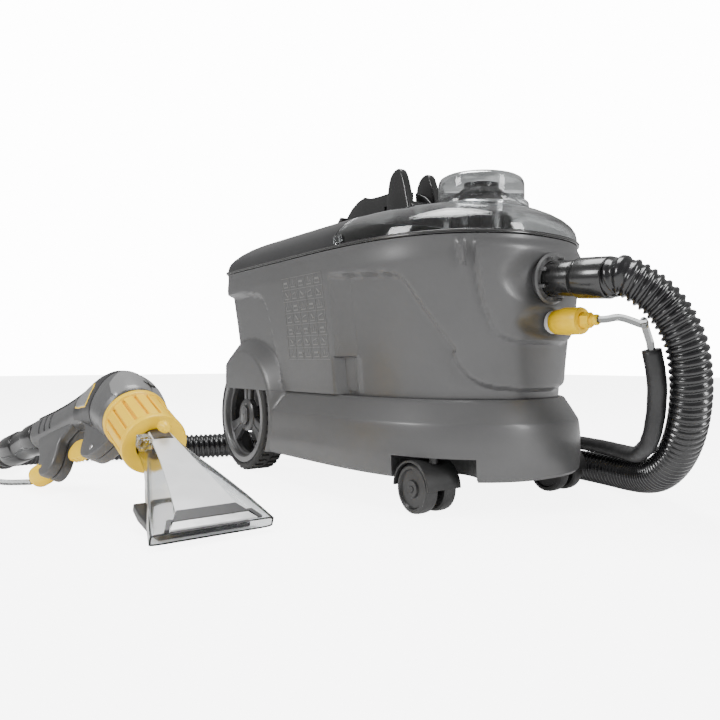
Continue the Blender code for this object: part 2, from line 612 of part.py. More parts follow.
def make_tube(name, points, radius, parent, finish, resolution=2):
    """A hose as a round tube with closed ends along a list of points."""
    curve = bpy.data.curves.new(name, "CURVE")
    curve.dimensions = "3D"
    curve.bevel_depth = radius
    curve.bevel_resolution = resolution
    curve.use_fill_caps = True
    spline = curve.splines.new("POLY")
    spline.points.add(len(points) - 1)
    for knot, point in zip(spline.points, points):
        knot.co = (*point, 1.0)
    curve.materials.append(new_material(name, finish))
    tube = bpy.data.objects.new(name, curve)
    tube.parent = parent
    PARTS.objects.link(tube)


HOSE_ROUTE = [(0.012, -0.455, 0.266), (0.028, -0.484, 0.236), (0.042, -0.496, 0.192), (0.056, -0.491, 0.143),
              (0.077, -0.472, 0.102), (0.105, -0.441, 0.066), (0.142, -0.394, 0.038), (0.180, -0.335, 0.0255),
              (0.205, -0.260, 0.0230), (0.216, -0.180, 0.0230), (0.220, -0.080, 0.0230), (0.221, 0.030, 0.0230),
              (0.219, 0.130, 0.0230), (0.212, 0.220, 0.0230), (0.184, 0.300, 0.0230), (0.130, 0.347, 0.0230),
              (0.055, 0.362, 0.0230), (-0.025, 0.356, 0.0230), (-0.100, 0.350, 0.0230), (-0.165, 0.360, 0.0230),
              (-0.228, 0.388, 0.0230), (-0.290, 0.425, 0.0230), (-0.355, 0.456, 0.0230), (-0.420, 0.458, 0.0235),
              (-0.466, 0.430, 0.0270)]
TOOL_SPRAY_ROUTE = [(-0.496, 0.262, 0.0046), (-0.514, 0.300, 0.0046), (-0.530, 0.345, 0.0050),
                    (-0.535, 0.375, 0.0070)]
SLEEVE_OFFSET = HOSE_R + SLEEVE_R + 0.0022   # sleeve's middle to the hose's middle
SLEEVE_FIRST = 3                             # knot of the hose where the sleeve's mouth lies
SLEEVE_TURN = 16                             # knot from which it rolls over to the outer side


def hose_knots(gun_matrix):
    """The suction hose's own line, from the port cuff to the hand tool's cuff."""
    port = Vector((PORT_X, PORT_FACE, PORT_Z)) + port_axis() * (0.0870 + GAP)
    cuff_end = gun_matrix @ Vector(CUFF_END)
    cuff_line = (gun_matrix.to_3x3() @ Vector(CUFF_LINE)).normalized()
    free = [port + port_axis() * 0.020] + [Vector(p) for p in HOSE_ROUTE] + [cuff_end + cuff_line * 0.020]
    return [port] + smooth_route(free, 0.046) + [cuff_end + cuff_line * GAP]


def sleeve_knots(hose):
    """A line beside the hose: inside its first loop, then rolling round to its outer side."""
    side = Vector((-0.55, 0.83, 0.0))
    knots = []
    for k in range(SLEEVE_FIRST, len(hose) - 2):
        along = (hose[k + 1] - hose[k - 1]).normalized()
        target = Vector((0, 0, 1)) if k < SLEEVE_TURN else along.cross(Vector((0, 0, 1))) - Vector((0, 0, 0.33))
        share = 0.0 if k < SLEEVE_FIRST + 4 else 0.30
        side = side.lerp(target, share)
        side = (side - along * side.dot(along)).normalized()
        knot = hose[k] + side * SLEEVE_OFFSET
        knot.z = max(knot.z, SLEEVE_R + 0.0003)
        knots.append(knot)
    return knots


def make_hoses(frame, gun_matrix):
    """Suction hose, the sleeve that runs along it, and the clear spray hose at both ends."""
    hose = hose_knots(gun_matrix)
    make_tube("suction_hose", hose, HOSE_R, frame, BLACK, 2)
    sleeve = sleeve_knots(hose)
    make_tube("hose_sleeve", sleeve, SLEEVE_R, frame, BLACK, 2)
    tail = Vector((COUPLING_X, SOCKET_FACE - 0.0700 - GAP, COUPLING_Z))
    into = (sleeve[0] - sleeve[1]).normalized()
    mouth = sleeve[0] + into * GAP
    free = [tail + Vector((0, -0.010, 0)), tail + Vector((0.002, -0.028, 0.0010)),
            tail + Vector((0.010, -0.052, -0.008)), mouth + into * 0.030 + Vector((-0.001, 0.004, 0.002)),
            mouth + into * 0.008]
    make_tube("spray_hose", [tail] + smooth_route(free, 0.012) + [mouth], SPRAY_HOSE_R, frame, CLEAR, 2)
    line = (gun_matrix.to_3x3() @ Vector(COUPLING_LINE)).normalized()
    tail = gun_matrix @ Vector(COUPLING_START) + line * (0.0440 + GAP)
    leave = (sleeve[-1] - sleeve[-2]).normalized()
    mouth = sleeve[-1] + leave * GAP
    free = [tail + line * 0.008] + [Vector(p) for p in TOOL_SPRAY_ROUTE] + [mouth + leave * 0.012]
    make_tube("spray_hose_end", [tail] + smooth_route(free, 0.014) + [mouth], SPRAY_HOSE_R, frame, CLEAR, 2)


# ---- hand tool ---------------------------------------------------------------------------------
def section_ring(y, z, slope, half_width, half_height, points=20, power=2.4):
    """One rounded section of the gun, square to a line that slopes in the YZ plane."""
    ring = []
    for k in range(points):
        angle = 2 * pi * k / points
        across = half_width * abs(cos(angle)) ** (2 / power) * (1 if cos(angle) >= 0 else -1)
        up = half_height * abs(sin(angle)) ** (2 / power) * (1 if sin(angle) >= 0 else -1)
        ring.append((across, y - up * sin(slope), z + up * cos(slope)))
    return ring


GUN_SECTIONS = [(0.0425, 0.000, 0, 0.0400, 0.0400), (0.0600, 0.000, -3, 0.0415, 0.0425),
                (0.0880, -0.001, -14, 0.0390, 0.0430), (0.1150, -0.011, -27, 0.0300, 0.0350),
                (0.1400, -0.031, -38, 0.0215, 0.0260), (0.1700, -0.060, -43, 0.0185, 0.0215),
                (0.2050, -0.096, -45, 0.0180, 0.0210), (0.2350, -0.127, -45, 0.0215, 0.0235)]


def gun_rings(less=0.0):
    return [section_ring(y, z, radians(slope), width - less, height - less)
            for y, z, slope, width, height in GUN_SECTIONS]


def make_gun(gun):
    """Pistol housing in two halves, with its lower lobe, boss, cuff, valve and trigger pin."""
    lobe = [(0.048, -0.030), (0.050, -0.062), (0.062, -0.078), (0.080, -0.084), (0.092, -0.072), (0.104, -0.040)]
    boss = [(0.160, -0.070), (0.150, -0.110), (0.1345, -0.118), (0.1335, -0.1522), (0.170, -0.1237), (0.200, -0.110)]
    for side, name in ((-1, "left"), (1, "right")):
        shell = mesh_object("gun_shell_" + name, loft_bmesh(gun_rings(), False, False), gun, TOOL_GREY)
        solidify(shell, 0.0025)
        cut(shell, mesh_object("gun_lobe_" + name, outline_bmesh(lobe, 0.0150), gun), "UNION")
        cut(shell, mesh_object("gun_boss_" + name, outline_bmesh(boss, 0.0160), gun), "UNION")
        cut(shell, mesh_object("gun_core_" + name, loft_bmesh(gun_rings(0.0025)), gun))
        slot = box_bmesh((0.0120, 0.068, 0.060), (0, 0.1050, -0.0830))
        cut(shell, mesh_object("trigger_slot_" + name, slot, gun))
        half = box_bmesh((0.12, 0.50, 0.50), (-side * (0.06 - GAP / 2), 0.15, -0.05))
        cut(shell, mesh_object("gun_half_" + name, half, gun))
        bore = rod_bmesh(0.0023, (-0.03, 0.0800, -0.0700), (0.03, 0.0800, -0.0700), 12)
        cut(shell, mesh_object("gun_bore_" + name, bore, gun))
    mesh_object("trigger_pin", rod_bmesh(0.0020, (-0.0140, 0.0800, -0.0700), (0.0140, 0.0800, -0.0700), 12),
                gun, STEEL)
    tilt = atan2(CUFF_LINE[1], CUFF_LINE[2])
    turned("gun_cuff", [(0.0205, 0.0920), (0.0238, 0.0900), (0.0240, 0.0560), (0.0220, 0.0530), (0.0220, 0.0300),
                        (0.0240, 0.0270), (0.0240, 0.0020), (0.0200, 0.0), (0.0170, 0.0), (0.0170, 0.0920)], 24,
           gun, BLACK, CUFF_START, (-tilt, 0, 0), ring=True)
    mesh_object("spray_valve", rod_bmesh(0.0080, (0, 0.130, -0.026), (0, 0.175, -0.068), 14), gun, YELLOW,
                smooth=radians(40))


def make_trigger(gun):
    """Yellow spray trigger, hinged on a pin through the lower lobe."""
    pivot = (0.0, 0.0800, -0.0700)
    hinge = new_empty("trigger_hinge", gun, pivot)
    outline = [(-0.006, -0.005), (0.004, -0.009), (0.024, -0.030), (0.040, -0.036), (0.051, -0.030),
               (0.050, -0.014), (0.034, -0.004), (0.014, 0.006), (-0.002, 0.007)]
    trigger = mesh_object("spray_trigger", outline_bmesh(outline, 0.0055), hinge, YELLOW)
    bore = rod_bmesh(0.0022, (-0.02, 0, 0), (0.02, 0, 0), 12)
    cut(trigger, mesh_object("trigger_bore", bore, hinge))


def make_tool_coupling(gun):
    """Quick coupling of the spray hose at the gun's boss."""
    start = Vector(COUPLING_START)
    along = Vector(COUPLING_LINE)
    tilt = atan2(along.y, along.z)
    turned("tool_coupling", [(0.0130, 0.0330), (0.0155, 0.0310), (0.0160, 0.0160), (0.0148, 0.0020),
                             (0.0100, 0.0020), (0.0100, 0.0330)], 20, gun, YELLOW, start, (-tilt, 0, 0), ring=True)
    turned("tool_hose_tail", [(0.0, 0.0440), (0.0056, 0.0440), (0.0060, 0.0360), (0.0092, 0.0330),
                              (0.0092, 0.0020), (0.0, 0.0020)], 12, gun, DARK_GREY, start, (-tilt, 0, 0))


def make_union_ring(gun):
    """Yellow union nut that clamps the nozzle to the gun: a narrow waist between two collars."""
    turned("union_ring", [(0.0225, 0.0400), (UNION_R - 0.001, 0.0400), (UNION_R, 0.0380), (UNION_R, 0.0280),
                          (0.0355, 0.0270), (0.0360, -0.0290), (UNION_R + 0.0005, -0.0300),
                          (UNION_R + 0.0005, -0.0400), (0.0300, -0.0400), (0.0300, 0.0340),
                          (0.0225, 0.0340)], 28, gun, YELLOW, rotation=(radians(90), 0, 0), ring=True)


def make_nozzle(frame):
    """Clear suction nozzle: round neck opening out to a wide flat lip, plates, adaptor and spray jet."""
    rows = [(-0.0200, 0.000, 0.0200, 0.0200), (-0.0500, 0.000, 0.0205, 0.0200), (-0.0800, -0.001, 0.0240, 0.0190),
            (-0.1300, -0.002, 0.0390, 0.0165), (-0.1850, -0.003, 0.0540, 0.0120),
            (-0.2300, -0.0040, LIP_HALF_WIDTH, 0.0065)]
    rings = []
    for y, z, width, height in rows:
        power = 2.2 + 8 * (-y - 0.02) / 0.21
        rings.append(section_ring(y, z, 0.0, width, height, 24, power))
    nozzle = mesh_object("nozzle_body", loft_bmesh([list(reversed(r)) for r in rings], False, False), frame, CLEAR)
    solidify(nozzle, 0.0018)
    foot = [(-0.130, -0.0215), (-0.150, -0.0220), (-0.212, -0.0142), (-0.212, -0.0204), (-0.200, -0.0246),
            (-0.150, -0.0330), (-0.130, -0.0310)]
    adaptor = mesh_object("upholstery_adaptor", outline_bmesh(foot, 0.0500), frame, DARK_GREY)
    bevel(adaptor, 0.0015, 1)
    turned("spray_jet", [(0.0, 0.0150), (0.0040, 0.0150), (0.0070, 0.0090), (0.0070, 0.0), (0.0, 0.0)], 12, frame,
           YELLOW, (0, -0.0560, 0.0330), (radians(75), 0, 0))


# ---- assembly ----------------------------------------------------------------------------------
clear_scene()
PARTS = new_collection("spot_extractor")
CUTTERS = new_collection("cutters", hidden=True)

machine = new_empty("machine", None, (MACHINE_X, MACHINE_Y, 0))
make_base_housing(machine)
make_rest_pad(machine)
make_fresh_water_tank(machine)
make_rim_seal(machine)
make_rear_cover(machine)
make_motor_bay(machine)
make_port_and_socket(machine)
make_dirty_tank(machine)
make_lid(machine)
make_float(machine)
make_carry_handle(machine)
make_switches(machine)
make_rear_wheels(machine)
make_castors(machine)
make_couplings(machine)
make_hose_cuff(machine)

nozzle_frame = new_empty("nozzle_frame", machine, TOOL_PLACE, (TOOL_TILT, 0, TOOL_YAW), "YXZ")
gun_frame = new_empty("gun_frame", machine, TOOL_PLACE, (TOOL_TILT, GUN_ROLL, TOOL_YAW), "YXZ")
gun_matrix = Matrix.Translation(TOOL_PLACE) @ Euler((TOOL_TILT, GUN_ROLL, TOOL_YAW), "YXZ").to_matrix().to_4x4()
make_gun(gun_frame)
make_trigger(gun_frame)
make_tool_coupling(gun_frame)
make_union_ring(gun_frame)
make_nozzle(nozzle_frame)
make_hoses(machine, gun_matrix)
bpy.context.view_layer.update()
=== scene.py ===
"""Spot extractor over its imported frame: machine, hoses and hand tool. Metres, +Z up, nose towards -Y."""
from math import asin, cos, pi, radians, sin

import bmesh
import bpy
import numpy as np
from mathutils import Euler, Matrix, Vector


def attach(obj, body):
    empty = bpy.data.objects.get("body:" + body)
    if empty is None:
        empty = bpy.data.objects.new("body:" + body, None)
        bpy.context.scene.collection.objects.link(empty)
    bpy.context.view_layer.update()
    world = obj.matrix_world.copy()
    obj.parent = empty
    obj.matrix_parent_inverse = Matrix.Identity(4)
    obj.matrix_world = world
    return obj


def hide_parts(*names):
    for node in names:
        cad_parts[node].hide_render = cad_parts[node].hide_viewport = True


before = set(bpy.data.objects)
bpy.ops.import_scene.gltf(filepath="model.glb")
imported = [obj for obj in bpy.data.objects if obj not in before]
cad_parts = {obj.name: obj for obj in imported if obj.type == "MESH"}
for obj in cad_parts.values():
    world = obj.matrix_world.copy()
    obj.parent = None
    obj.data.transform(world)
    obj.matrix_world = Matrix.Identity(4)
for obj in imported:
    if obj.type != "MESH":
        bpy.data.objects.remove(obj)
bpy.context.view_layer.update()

# ---- studio ------------------------------------------------------------------------------------
# A pale seamless floor under soft boxes. The machine stands on it on two wheels and four castor wheels.
# The camera stands low, in front of the machine's left corner.
MACHINE = Vector((0.1682, 0.0318, 0.0))      # the machine's middle line in the frame
ROOM_LIGHT, BACKDROP_SEEN = 0.40, 14.0       # what the room gives as light, and how bright it looks itself
FLOOR_LIGHT, FLOOR_SEEN = 0.35, 5.5          # the same two for the paper floor


def deselect():
    bpy.ops.object.select_all(action="DESELECT")


deselect()
bpy.ops.mesh.primitive_plane_add(size=14, location=(0, 2.0, 0))
floor = bpy.context.object
floor.name = "studio_floor"
paper = bpy.data.materials.new("seamless paper")
paper.use_nodes = True
paper_shader = paper.node_tree.nodes["Principled BSDF"]
paper_shader.inputs["Base Color"].default_value = (0.93, 0.93, 0.93, 1)
paper_shader.inputs["Roughness"].default_value = 0.75
paper_shader.inputs["Specular IOR Level"].default_value = 0.15
paper_shader.inputs["Emission Color"].default_value = (1, 1, 1, 1)
paper_sight = paper.node_tree.nodes.new("ShaderNodeLightPath")
paper_glow = paper.node_tree.nodes.new("ShaderNodeMath")
paper_glow.operation = "MULTIPLY_ADD"
paper_glow.inputs[1].default_value = FLOOR_SEEN
paper_glow.inputs[2].default_value = FLOOR_LIGHT
paper.node_tree.links.new(paper_sight.outputs["Is Camera Ray"], paper_glow.inputs[0])
paper.node_tree.links.new(paper_glow.outputs["Value"], paper_shader.inputs["Emission Strength"])
floor.data.materials.append(paper)

world = bpy.data.worlds.new("white room")
world.use_nodes = True
room_nodes, room_links = world.node_tree.nodes, world.node_tree.links
room = room_nodes["Background"]
room.inputs["Color"].default_value = (1, 1, 1, 1)
room.inputs["Strength"].default_value = ROOM_LIGHT
backdrop = room_nodes.new("ShaderNodeBackground")
backdrop.inputs["Color"].default_value = (1, 1, 1, 1)
backdrop.inputs["Strength"].default_value = BACKDROP_SEEN
sight, either = room_nodes.new("ShaderNodeLightPath"), room_nodes.new("ShaderNodeMixShader")
room_links.new(sight.outputs["Is Camera Ray"], either.inputs["Fac"])
room_links.new(room.outputs["Background"], either.inputs[1])
room_links.new(backdrop.outputs["Background"], either.inputs[2])
room_links.new(either.outputs["Shader"], room_nodes["World Output"].inputs["Surface"])
bpy.context.scene.world = world


def soft_box(name, place, target, size, watts, height=None):
    """A rectangular studio light that faces a point of the machine."""
    bpy.ops.object.light_add(type="AREA", location=place)
    lamp = bpy.context.object
    lamp.name = name
    lamp.data.shape = "RECTANGLE"
    lamp.data.size = size
    lamp.data.size_y = height or size
    lamp.data.energy = watts
    lamp.rotation_euler = (Vector(target) - Vector(place)).to_track_quat("-Z", "Y").to_euler()
    return lamp


soft_box("key light", (-2.0, 0.5, 1.3), (0.1, 0, 0.2), 0.6, 30, 0.6)
soft_box("front light", (0.7, -2.2, 1.1), (0.15, -0.1, 0.2), 0.5, 38, 1.2)
soft_box("top light", (0.1, 0.2, 2.2), (0.1, 0, 0.2), 1.1, 46)

bpy.ops.object.camera_add(location=(MACHINE.x - 0.638, MACHINE.y - 0.893, 0.182),
                          rotation=(radians(90), 0, radians(-37.58)))
camera = bpy.context.object
camera.data.sensor_width = 36
camera.data.lens = 34.16
camera.data.shift_x = -0.0696
camera.data.shift_y = 0.0020
bpy.context.scene.camera = camera


# ---- suction hose ------------------------------------------------------------------------------
# Corrugated PVC hose, 45 mm outside, with a helical rib about every 8.5 mm. It leaves the front port, drops in
# one loop, runs along the far side of the machine and behind it, and comes back to the hand tool's cuff.
PORT = Vector((0.003, -0.3415, 0.282))
PORT_TILT = radians(4.4)
PORT_LINE = Euler((radians(90) + PORT_TILT, 0, 0)).to_matrix() @ Vector((0, 0, 1))
TOOL_PLACE = Vector((-0.378, -0.008, 0.094))
TOOL_TILT = radians(20.4)
TOOL_YAW = radians(1.6)
GUN_ROLL = radians(29.0)
GUN = Matrix.Translation(MACHINE + TOOL_PLACE) @ Euler((TOOL_TILT, GUN_ROLL, TOOL_YAW),
                                                       "YXZ").to_matrix().to_4x4()
NOZZLE = Matrix.Translation(MACHINE + TOOL_PLACE) @ Euler((TOOL_TILT, 0, TOOL_YAW),
                                                          "YXZ").to_matrix().to_4x4()
GUN_CUFF_END = Vector((0.0, 0.3012, -0.1920))
GUN_CUFF_LINE = Vector((0.0, 0.7136, -0.7006)).normalized()
HOSE_R = 0.0225
HOSE_ROUTE = [(0.012, -0.455, 0.266), (0.028, -0.484, 0.236), (0.042, -0.496, 0.192), (0.056, -0.491, 0.143),
              (0.077, -0.472, 0.102), (0.105, -0.441, 0.066), (0.142, -0.394, 0.038), (0.180, -0.335, 0.0255),
              (0.205, -0.260, 0.0230), (0.216, -0.180, 0.0230), (0.220, -0.080, 0.0230),
              (0.221, 0.030, 0.0230),
              (0.219, 0.130, 0.0230), (0.212, 0.220, 0.0230), (0.184, 0.300, 0.0230), (0.130, 0.347, 0.0230),
              (0.055, 0.362, 0.0230), (-0.025, 0.356, 0.0230), (-0.100, 0.350, 0.0230),
              (-0.165, 0.360, 0.0230),
              (-0.228, 0.388, 0.0230), (-0.290, 0.425, 0.0230), (-0.355, 0.456, 0.0230),
              (-0.420, 0.458, 0.0235),
              (-0.466, 0.430, 0.0270)]


def smooth_route(points, spacing):
    """Points at even spacing along a smooth curve through a given route."""
    route = [Vector(point) for point in points]
    ends = [route[0] * 2 - route[1]] + route + [route[-1] * 2 - route[-2]]
    dense = []
    for a, b, c, d in zip(ends, ends[1:], ends[2:], ends[3:]):
        for k in range(24):
            t = k / 24
            dense.append(0.5 * (2 * b + (c - a) * t + (2 * a - 5 * b + 4 * c - d) * t ** 2
                                + (3 * b - a - 3 * c + d) * t ** 3))
    dense.append(route[-1])
    lengths = [0.0]
    for a, b in zip(dense, dense[1:]):
        lengths.append(lengths[-1] + (b - a).length)
    count = max(3, round(lengths[-1] / spacing))
    even, k = [], 0
    for j in range(count + 1):
        target = lengths[-1] * j / count
        while k < len(dense) - 2 and lengths[k + 1] < target:
            k += 1
        share = (target - lengths[k]) / max(lengths[k + 1] - lengths[k], 1e-9)
        even.append(dense[k].lerp(dense[k + 1], min(share, 1.0)))
    return even


def new_piece(name, points, faces, smooth=True):
    """A mesh object in the frame's own place."""
    mesh = bpy.data.meshes.new(name)
    mesh.from_pydata([tuple(p) for p in points], [], faces)
    piece = bpy.data.objects.new(name, mesh)
    bpy.context.scene.collection.objects.link(piece)
    if smooth:
        mesh.shade_smooth()
    return piece


def sheath(name, line, around, radius):
    """Skins a line with rings. radius(distance along, angle) gives the ring's shape; both ends are closed."""
    frames = []
    up = Vector((0, 0, 1))
    for k, point in enumerate(line):
        along = (line[min(k + 1, len(line) - 1)] - line[max(k - 1, 0)]).normalized()
        if k == 0 and abs(along.z) > 0.9:
            up = Vector((0, 1, 0))
        last = frames[-1][0] if frames else None
        across = (last - along * last.dot(along) if frames else along.cross(up)).normalized()
        frames.append((across, along.cross(across)))
    points, faces, run = [], [], 0.0
    for k, point in enumerate(line):
        if k:
            run += (point - line[k - 1]).length
        across, over = frames[k]
        for j in range(around):
            angle = 2 * pi * j / around
            r = radius(run, angle)
            points.append(point + across * (r * cos(angle)) + over * (r * sin(angle)))
    for k in range(len(line) - 1):
        a, b = k * around, (k + 1) * around
        faces += [(a + j, a + (j + 1) % around, b + (j + 1) % around, b + j) for j in range(around)]
    faces.append(tuple(reversed(range(around))))
    faces.append(tuple(range((len(line) - 1) * around, len(line) * around)))
    piece = new_piece(name, points, faces)
    piece.data.polygons[-1].use_smooth = False
    piece.data.polygons[-2].use_smooth = False
    return piece


def surface_group():
    """Moulded or rolled surface: two sizes of noise vary the colour and the gloss and raise a fine grain."""
    group = bpy.data.node_groups.new("worked surface", "ShaderNodeTree")
    for name, kind in (("Colour", "NodeSocketColor"), ("Second colour", "NodeSocketColor"),
                       ("Roughness", "NodeSocketFloat"), ("Gloss change", "NodeSocketFloat"),
                       ("Grain size", "NodeSocketFloat"), ("Grain depth", "NodeSocketFloat"),
                       ("Patch size", "NodeSocketFloat")):
        group.interface.new_socket(name, in_out="INPUT", socket_type=kind)
    for name, kind in (("Colour", "NodeSocketColor"), ("Roughness", "NodeSocketFloat"),
                       ("Normal", "NodeSocketVector")):
        group.interface.new_socket(name, in_out="OUTPUT", socket_type=kind)
    nodes, links = group.nodes, group.links
    inward, outward = nodes.new("NodeGroupInput"), nodes.new("NodeGroupOutput")
    place = nodes.new("ShaderNodeTexCoord")
    patches, grain = nodes.new("ShaderNodeTexNoise"), nodes.new("ShaderNodeTexNoise")
    grain.inputs["Detail"].default_value = 3
    patches.inputs["Detail"].default_value = 5
    for texture, size in ((patches, "Patch size"), (grain, "Grain size")):
        links.new(place.outputs["Object"], texture.inputs["Vector"])
        links.new(inward.outputs[size], texture.inputs["Scale"])
    spread = nodes.new("ShaderNodeMapRange")
    spread.inputs["From Min"].default_value = 0.35
    spread.inputs["From Max"].default_value = 0.65
    links.new(patches.outputs["Fac"], spread.inputs["Value"])
    blend = nodes.new("ShaderNodeMix")
    blend.data_type = "RGBA"
    links.new(spread.outputs["Result"], blend.inputs["Factor"])
    links.new(inward.outputs["Colour"], blend.inputs["A"])
    links.new(inward.outputs["Second colour"], blend.inputs["B"])
    links.new(blend.outputs["Result"], outward.inputs["Colour"])
    swing = nodes.new("ShaderNodeMath")
    swing.operation = "MULTIPLY_ADD"
    links.new(patches.outputs["Fac"], swing.inputs[0])
    links.new(inward.outputs["Gloss change"], swing.inputs[1])
    links.new(inward.outputs["Roughness"], swing.inputs[2])
    links.new(swing.outputs["Value"], outward.inputs["Roughness"])
    relief = nodes.new("ShaderNodeBump")
    relief.inputs["Distance"].default_value = 0.0006
    links.new(inward.outputs["Grain depth"], relief.inputs["Strength"])
    links.new(grain.outputs["Fac"], relief.inputs["Height"])
    links.new(relief.outputs["Normal"], outward.inputs["Normal"])
    return group


SURFACE = surface_group()


def moulded(name, colour, second, roughness, grain=900.0, depth=0.12, patch=9.0, swing=0.10, coat=0.0,
            metal=0.0):
    """A moulded plastic, rubber or metal finish: its two close colours, gloss and grain."""
    finish = bpy.data.materials.new(name)
    finish.use_nodes = True
    nodes, links = finish.node_tree.nodes, finish.node_tree.links
    shader = nodes["Principled BSDF"]
    surface = nodes.new("ShaderNodeGroup")
    surface.node_tree = SURFACE
    surface.inputs["Colour"].default_value = (*colour, 1)
    surface.inputs["Second colour"].default_value = (*second, 1)
    surface.inputs["Roughness"].default_value = roughness - swing / 2
    surface.inputs["Gloss change"].default_value = swing
    surface.inputs["Grain size"].default_value = grain
    surface.inputs["Grain depth"].default_value = depth
    surface.inputs["Patch size"].default_value = patch
    links.new(surface.outputs["Colour"], shader.inputs["Base Color"])
    links.new(surface.outputs["Roughness"], shader.inputs["Roughness"])
    links.new(surface.outputs["Normal"], shader.inputs["Normal"])
    shader.inputs["Coat Weight"].default_value = coat
    shader.inputs["Coat Roughness"].default_value = 0.12
    shader.inputs["Metallic"].default_value = metal
    return finish


def settle(piece, finish, slot, body, *replaced):
    """Gives a finished piece its material and its body; the slot argument is not used."""
    piece.data.materials.clear()
    piece.data.materials.append(finish)
    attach(piece, body)
    if replaced:
        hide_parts(*replaced)
    return piece


HOSE_BLACK = moulded("hose vinyl", (0.006, 0.006, 0.007), (0.014, 0.014, 0.015), 0.24, 260, 0.22, 40, 0.14,
                     0.35)
RIB_PITCH = 0.0085


def ribbed(run, angle):
    """Radius of a hose with one helical rib: round crown, flat-bottomed groove."""
    wave = cos(2 * pi * (run / RIB_PITCH) - angle)
    return HOSE_R - 0.0030 * (0.5 - 0.5 * max(-1.0, min(1.0, wave * 1.35))) ** 1.3


def hose_knots():
    port_end = PORT + PORT_LINE * 0.0873
    start = MACHINE + port_end
    cuff_end = GUN @ GUN_CUFF_END
    cuff_line = (GUN.to_3x3() @ GUN_CUFF_LINE).normalized()
    free = [MACHINE + Vector(p) for p in HOSE_ROUTE]
    free = [start + PORT_LINE * 0.020] + free + [cuff_end + cuff_line * 0.020]
    return start, free, cuff_end + cuff_line * 0.0003


hose_start, hose_free, hose_end = hose_knots()
knots = [hose_start] + smooth_route(hose_free, 0.046) + [hose_end]
hose_line = smooth_route(knots, RIB_PITCH / 8)
suction_hose = sheath("suction_hose_ribbed", hose_line, 26, ribbed)
settle(suction_hose, HOSE_BLACK, "hose_black", "machine", "suction_hose")

# ---- hose sleeve -------------------------------------------------------------------------------
# Smooth woven sleeve that ties the spray line to the suction hose: inside its first loop, then rolling
# round to its outer side where it lies on the floor.
SLEEVE_R = 0.0105
SLEEVE_OFFSET = HOSE_R + SLEEVE_R + 0.0022
SLEEVE_FIRST = 3
SLEEVE_TURN = 16


def sleeve_knots():
    side = Vector((-0.55, 0.83, 0.0))
    found = []
    for k in range(SLEEVE_FIRST, len(knots) - 2):
        along = (knots[k + 1] - knots[k - 1]).normalized()
        target = Vector((0, 0, 1)) if k < SLEEVE_TURN else along.cross(Vector((0, 0, 1))) - Vector((0, 0,
                                                                                                    0.33))
        share = 0.0 if k < SLEEVE_FIRST + 4 else 0.30
        side = side.lerp(target, share)
        side = (side - along * side.dot(along)).normalized()
        knot = knots[k] + side * SLEEVE_OFFSET
        knot.z = max(knot.z, SLEEVE_R + 0.0003)
        found.append(knot)
    return found


SLEEVE_BLACK = moulded("woven sleeve", (0.010, 0.010, 0.011), (0.020, 0.020, 0.021), 0.42, 1400, 0.35, 30,
                       0.1)


def sleeve_radius(run, angle):
    """The sleeve's skin: a sewn seam along one side and slight puckers every few centimetres."""
    seam = max(0.0, cos(angle - 0.9)) ** 40 * 0.0007
    return SLEEVE_R - 0.0002 + seam + 0.00035 * sin(run * 210 + 1.7 * sin(angle)) * cos(angle * 2)


sleeve_ends = sleeve_knots()
sleeve_line = smooth_route(sleeve_ends, 0.005)
hose_sleeve = sheath("hose_sleeve_woven", sleeve_line, 20, sleeve_radius)
settle(hose_sleeve, SLEEVE_BLACK, "sleeve_black", "machine", "hose_sleeve")

# ---- clear spray hose --------------------------------------------------------------------------
# Clear PVC tube, 8.4 mm outside. It shows where it leaves each quick coupling and enters the sleeve.
SPRAY_R = 0.0042
COUPLING = Vector((0.012, -0.3335, 0.230))
TOOL_COUPLING = Vector((0.0, 0.1500, -0.1400))
TOOL_COUPLING_LINE = Vector((0.0, 0.6157, -0.7880)).normalized()
TOOL_SPRAY_ROUTE = [(-0.496, 0.262, 0.0046), (-0.514, 0.300, 0.0046), (-0.530, 0.345, 0.0050),
                    (-0.535, 0.375, 0.0070)]


def clear_plastic(name, colour, roughness, density=0.0, ior=1.46):
    """Clear moulded plastic with faint flow lines in its gloss."""
    finish = bpy.data.materials.new(name)
    finish.use_nodes = True
    nodes, links = finish.node_tree.nodes, finish.node_tree.links
    shader = nodes["Principled BSDF"]
    surface = nodes.new("ShaderNodeGroup")
    surface.node_tree = SURFACE
    surface.inputs["Colour"].default_value = (*colour, 1)
    surface.inputs["Second colour"].default_value = (*[c * 0.94 for c in colour], 1)
    surface.inputs["Roughness"].default_value = roughness
    surface.inputs["Gloss change"].default_value = 0.05
    surface.inputs["Grain size"].default_value = 60
    surface.inputs["Grain depth"].default_value = density
    surface.inputs["Patch size"].default_value = 14
    for name_ in ("Colour", "Roughness", "Normal"):
        links.new(surface.outputs[name_], shader.inputs["Base Color" if name_ == "Colour" else name_])
    shader.inputs["Transmission Weight"].default_value = 1.0
    shader.inputs["IOR"].default_value = ior
    return finish


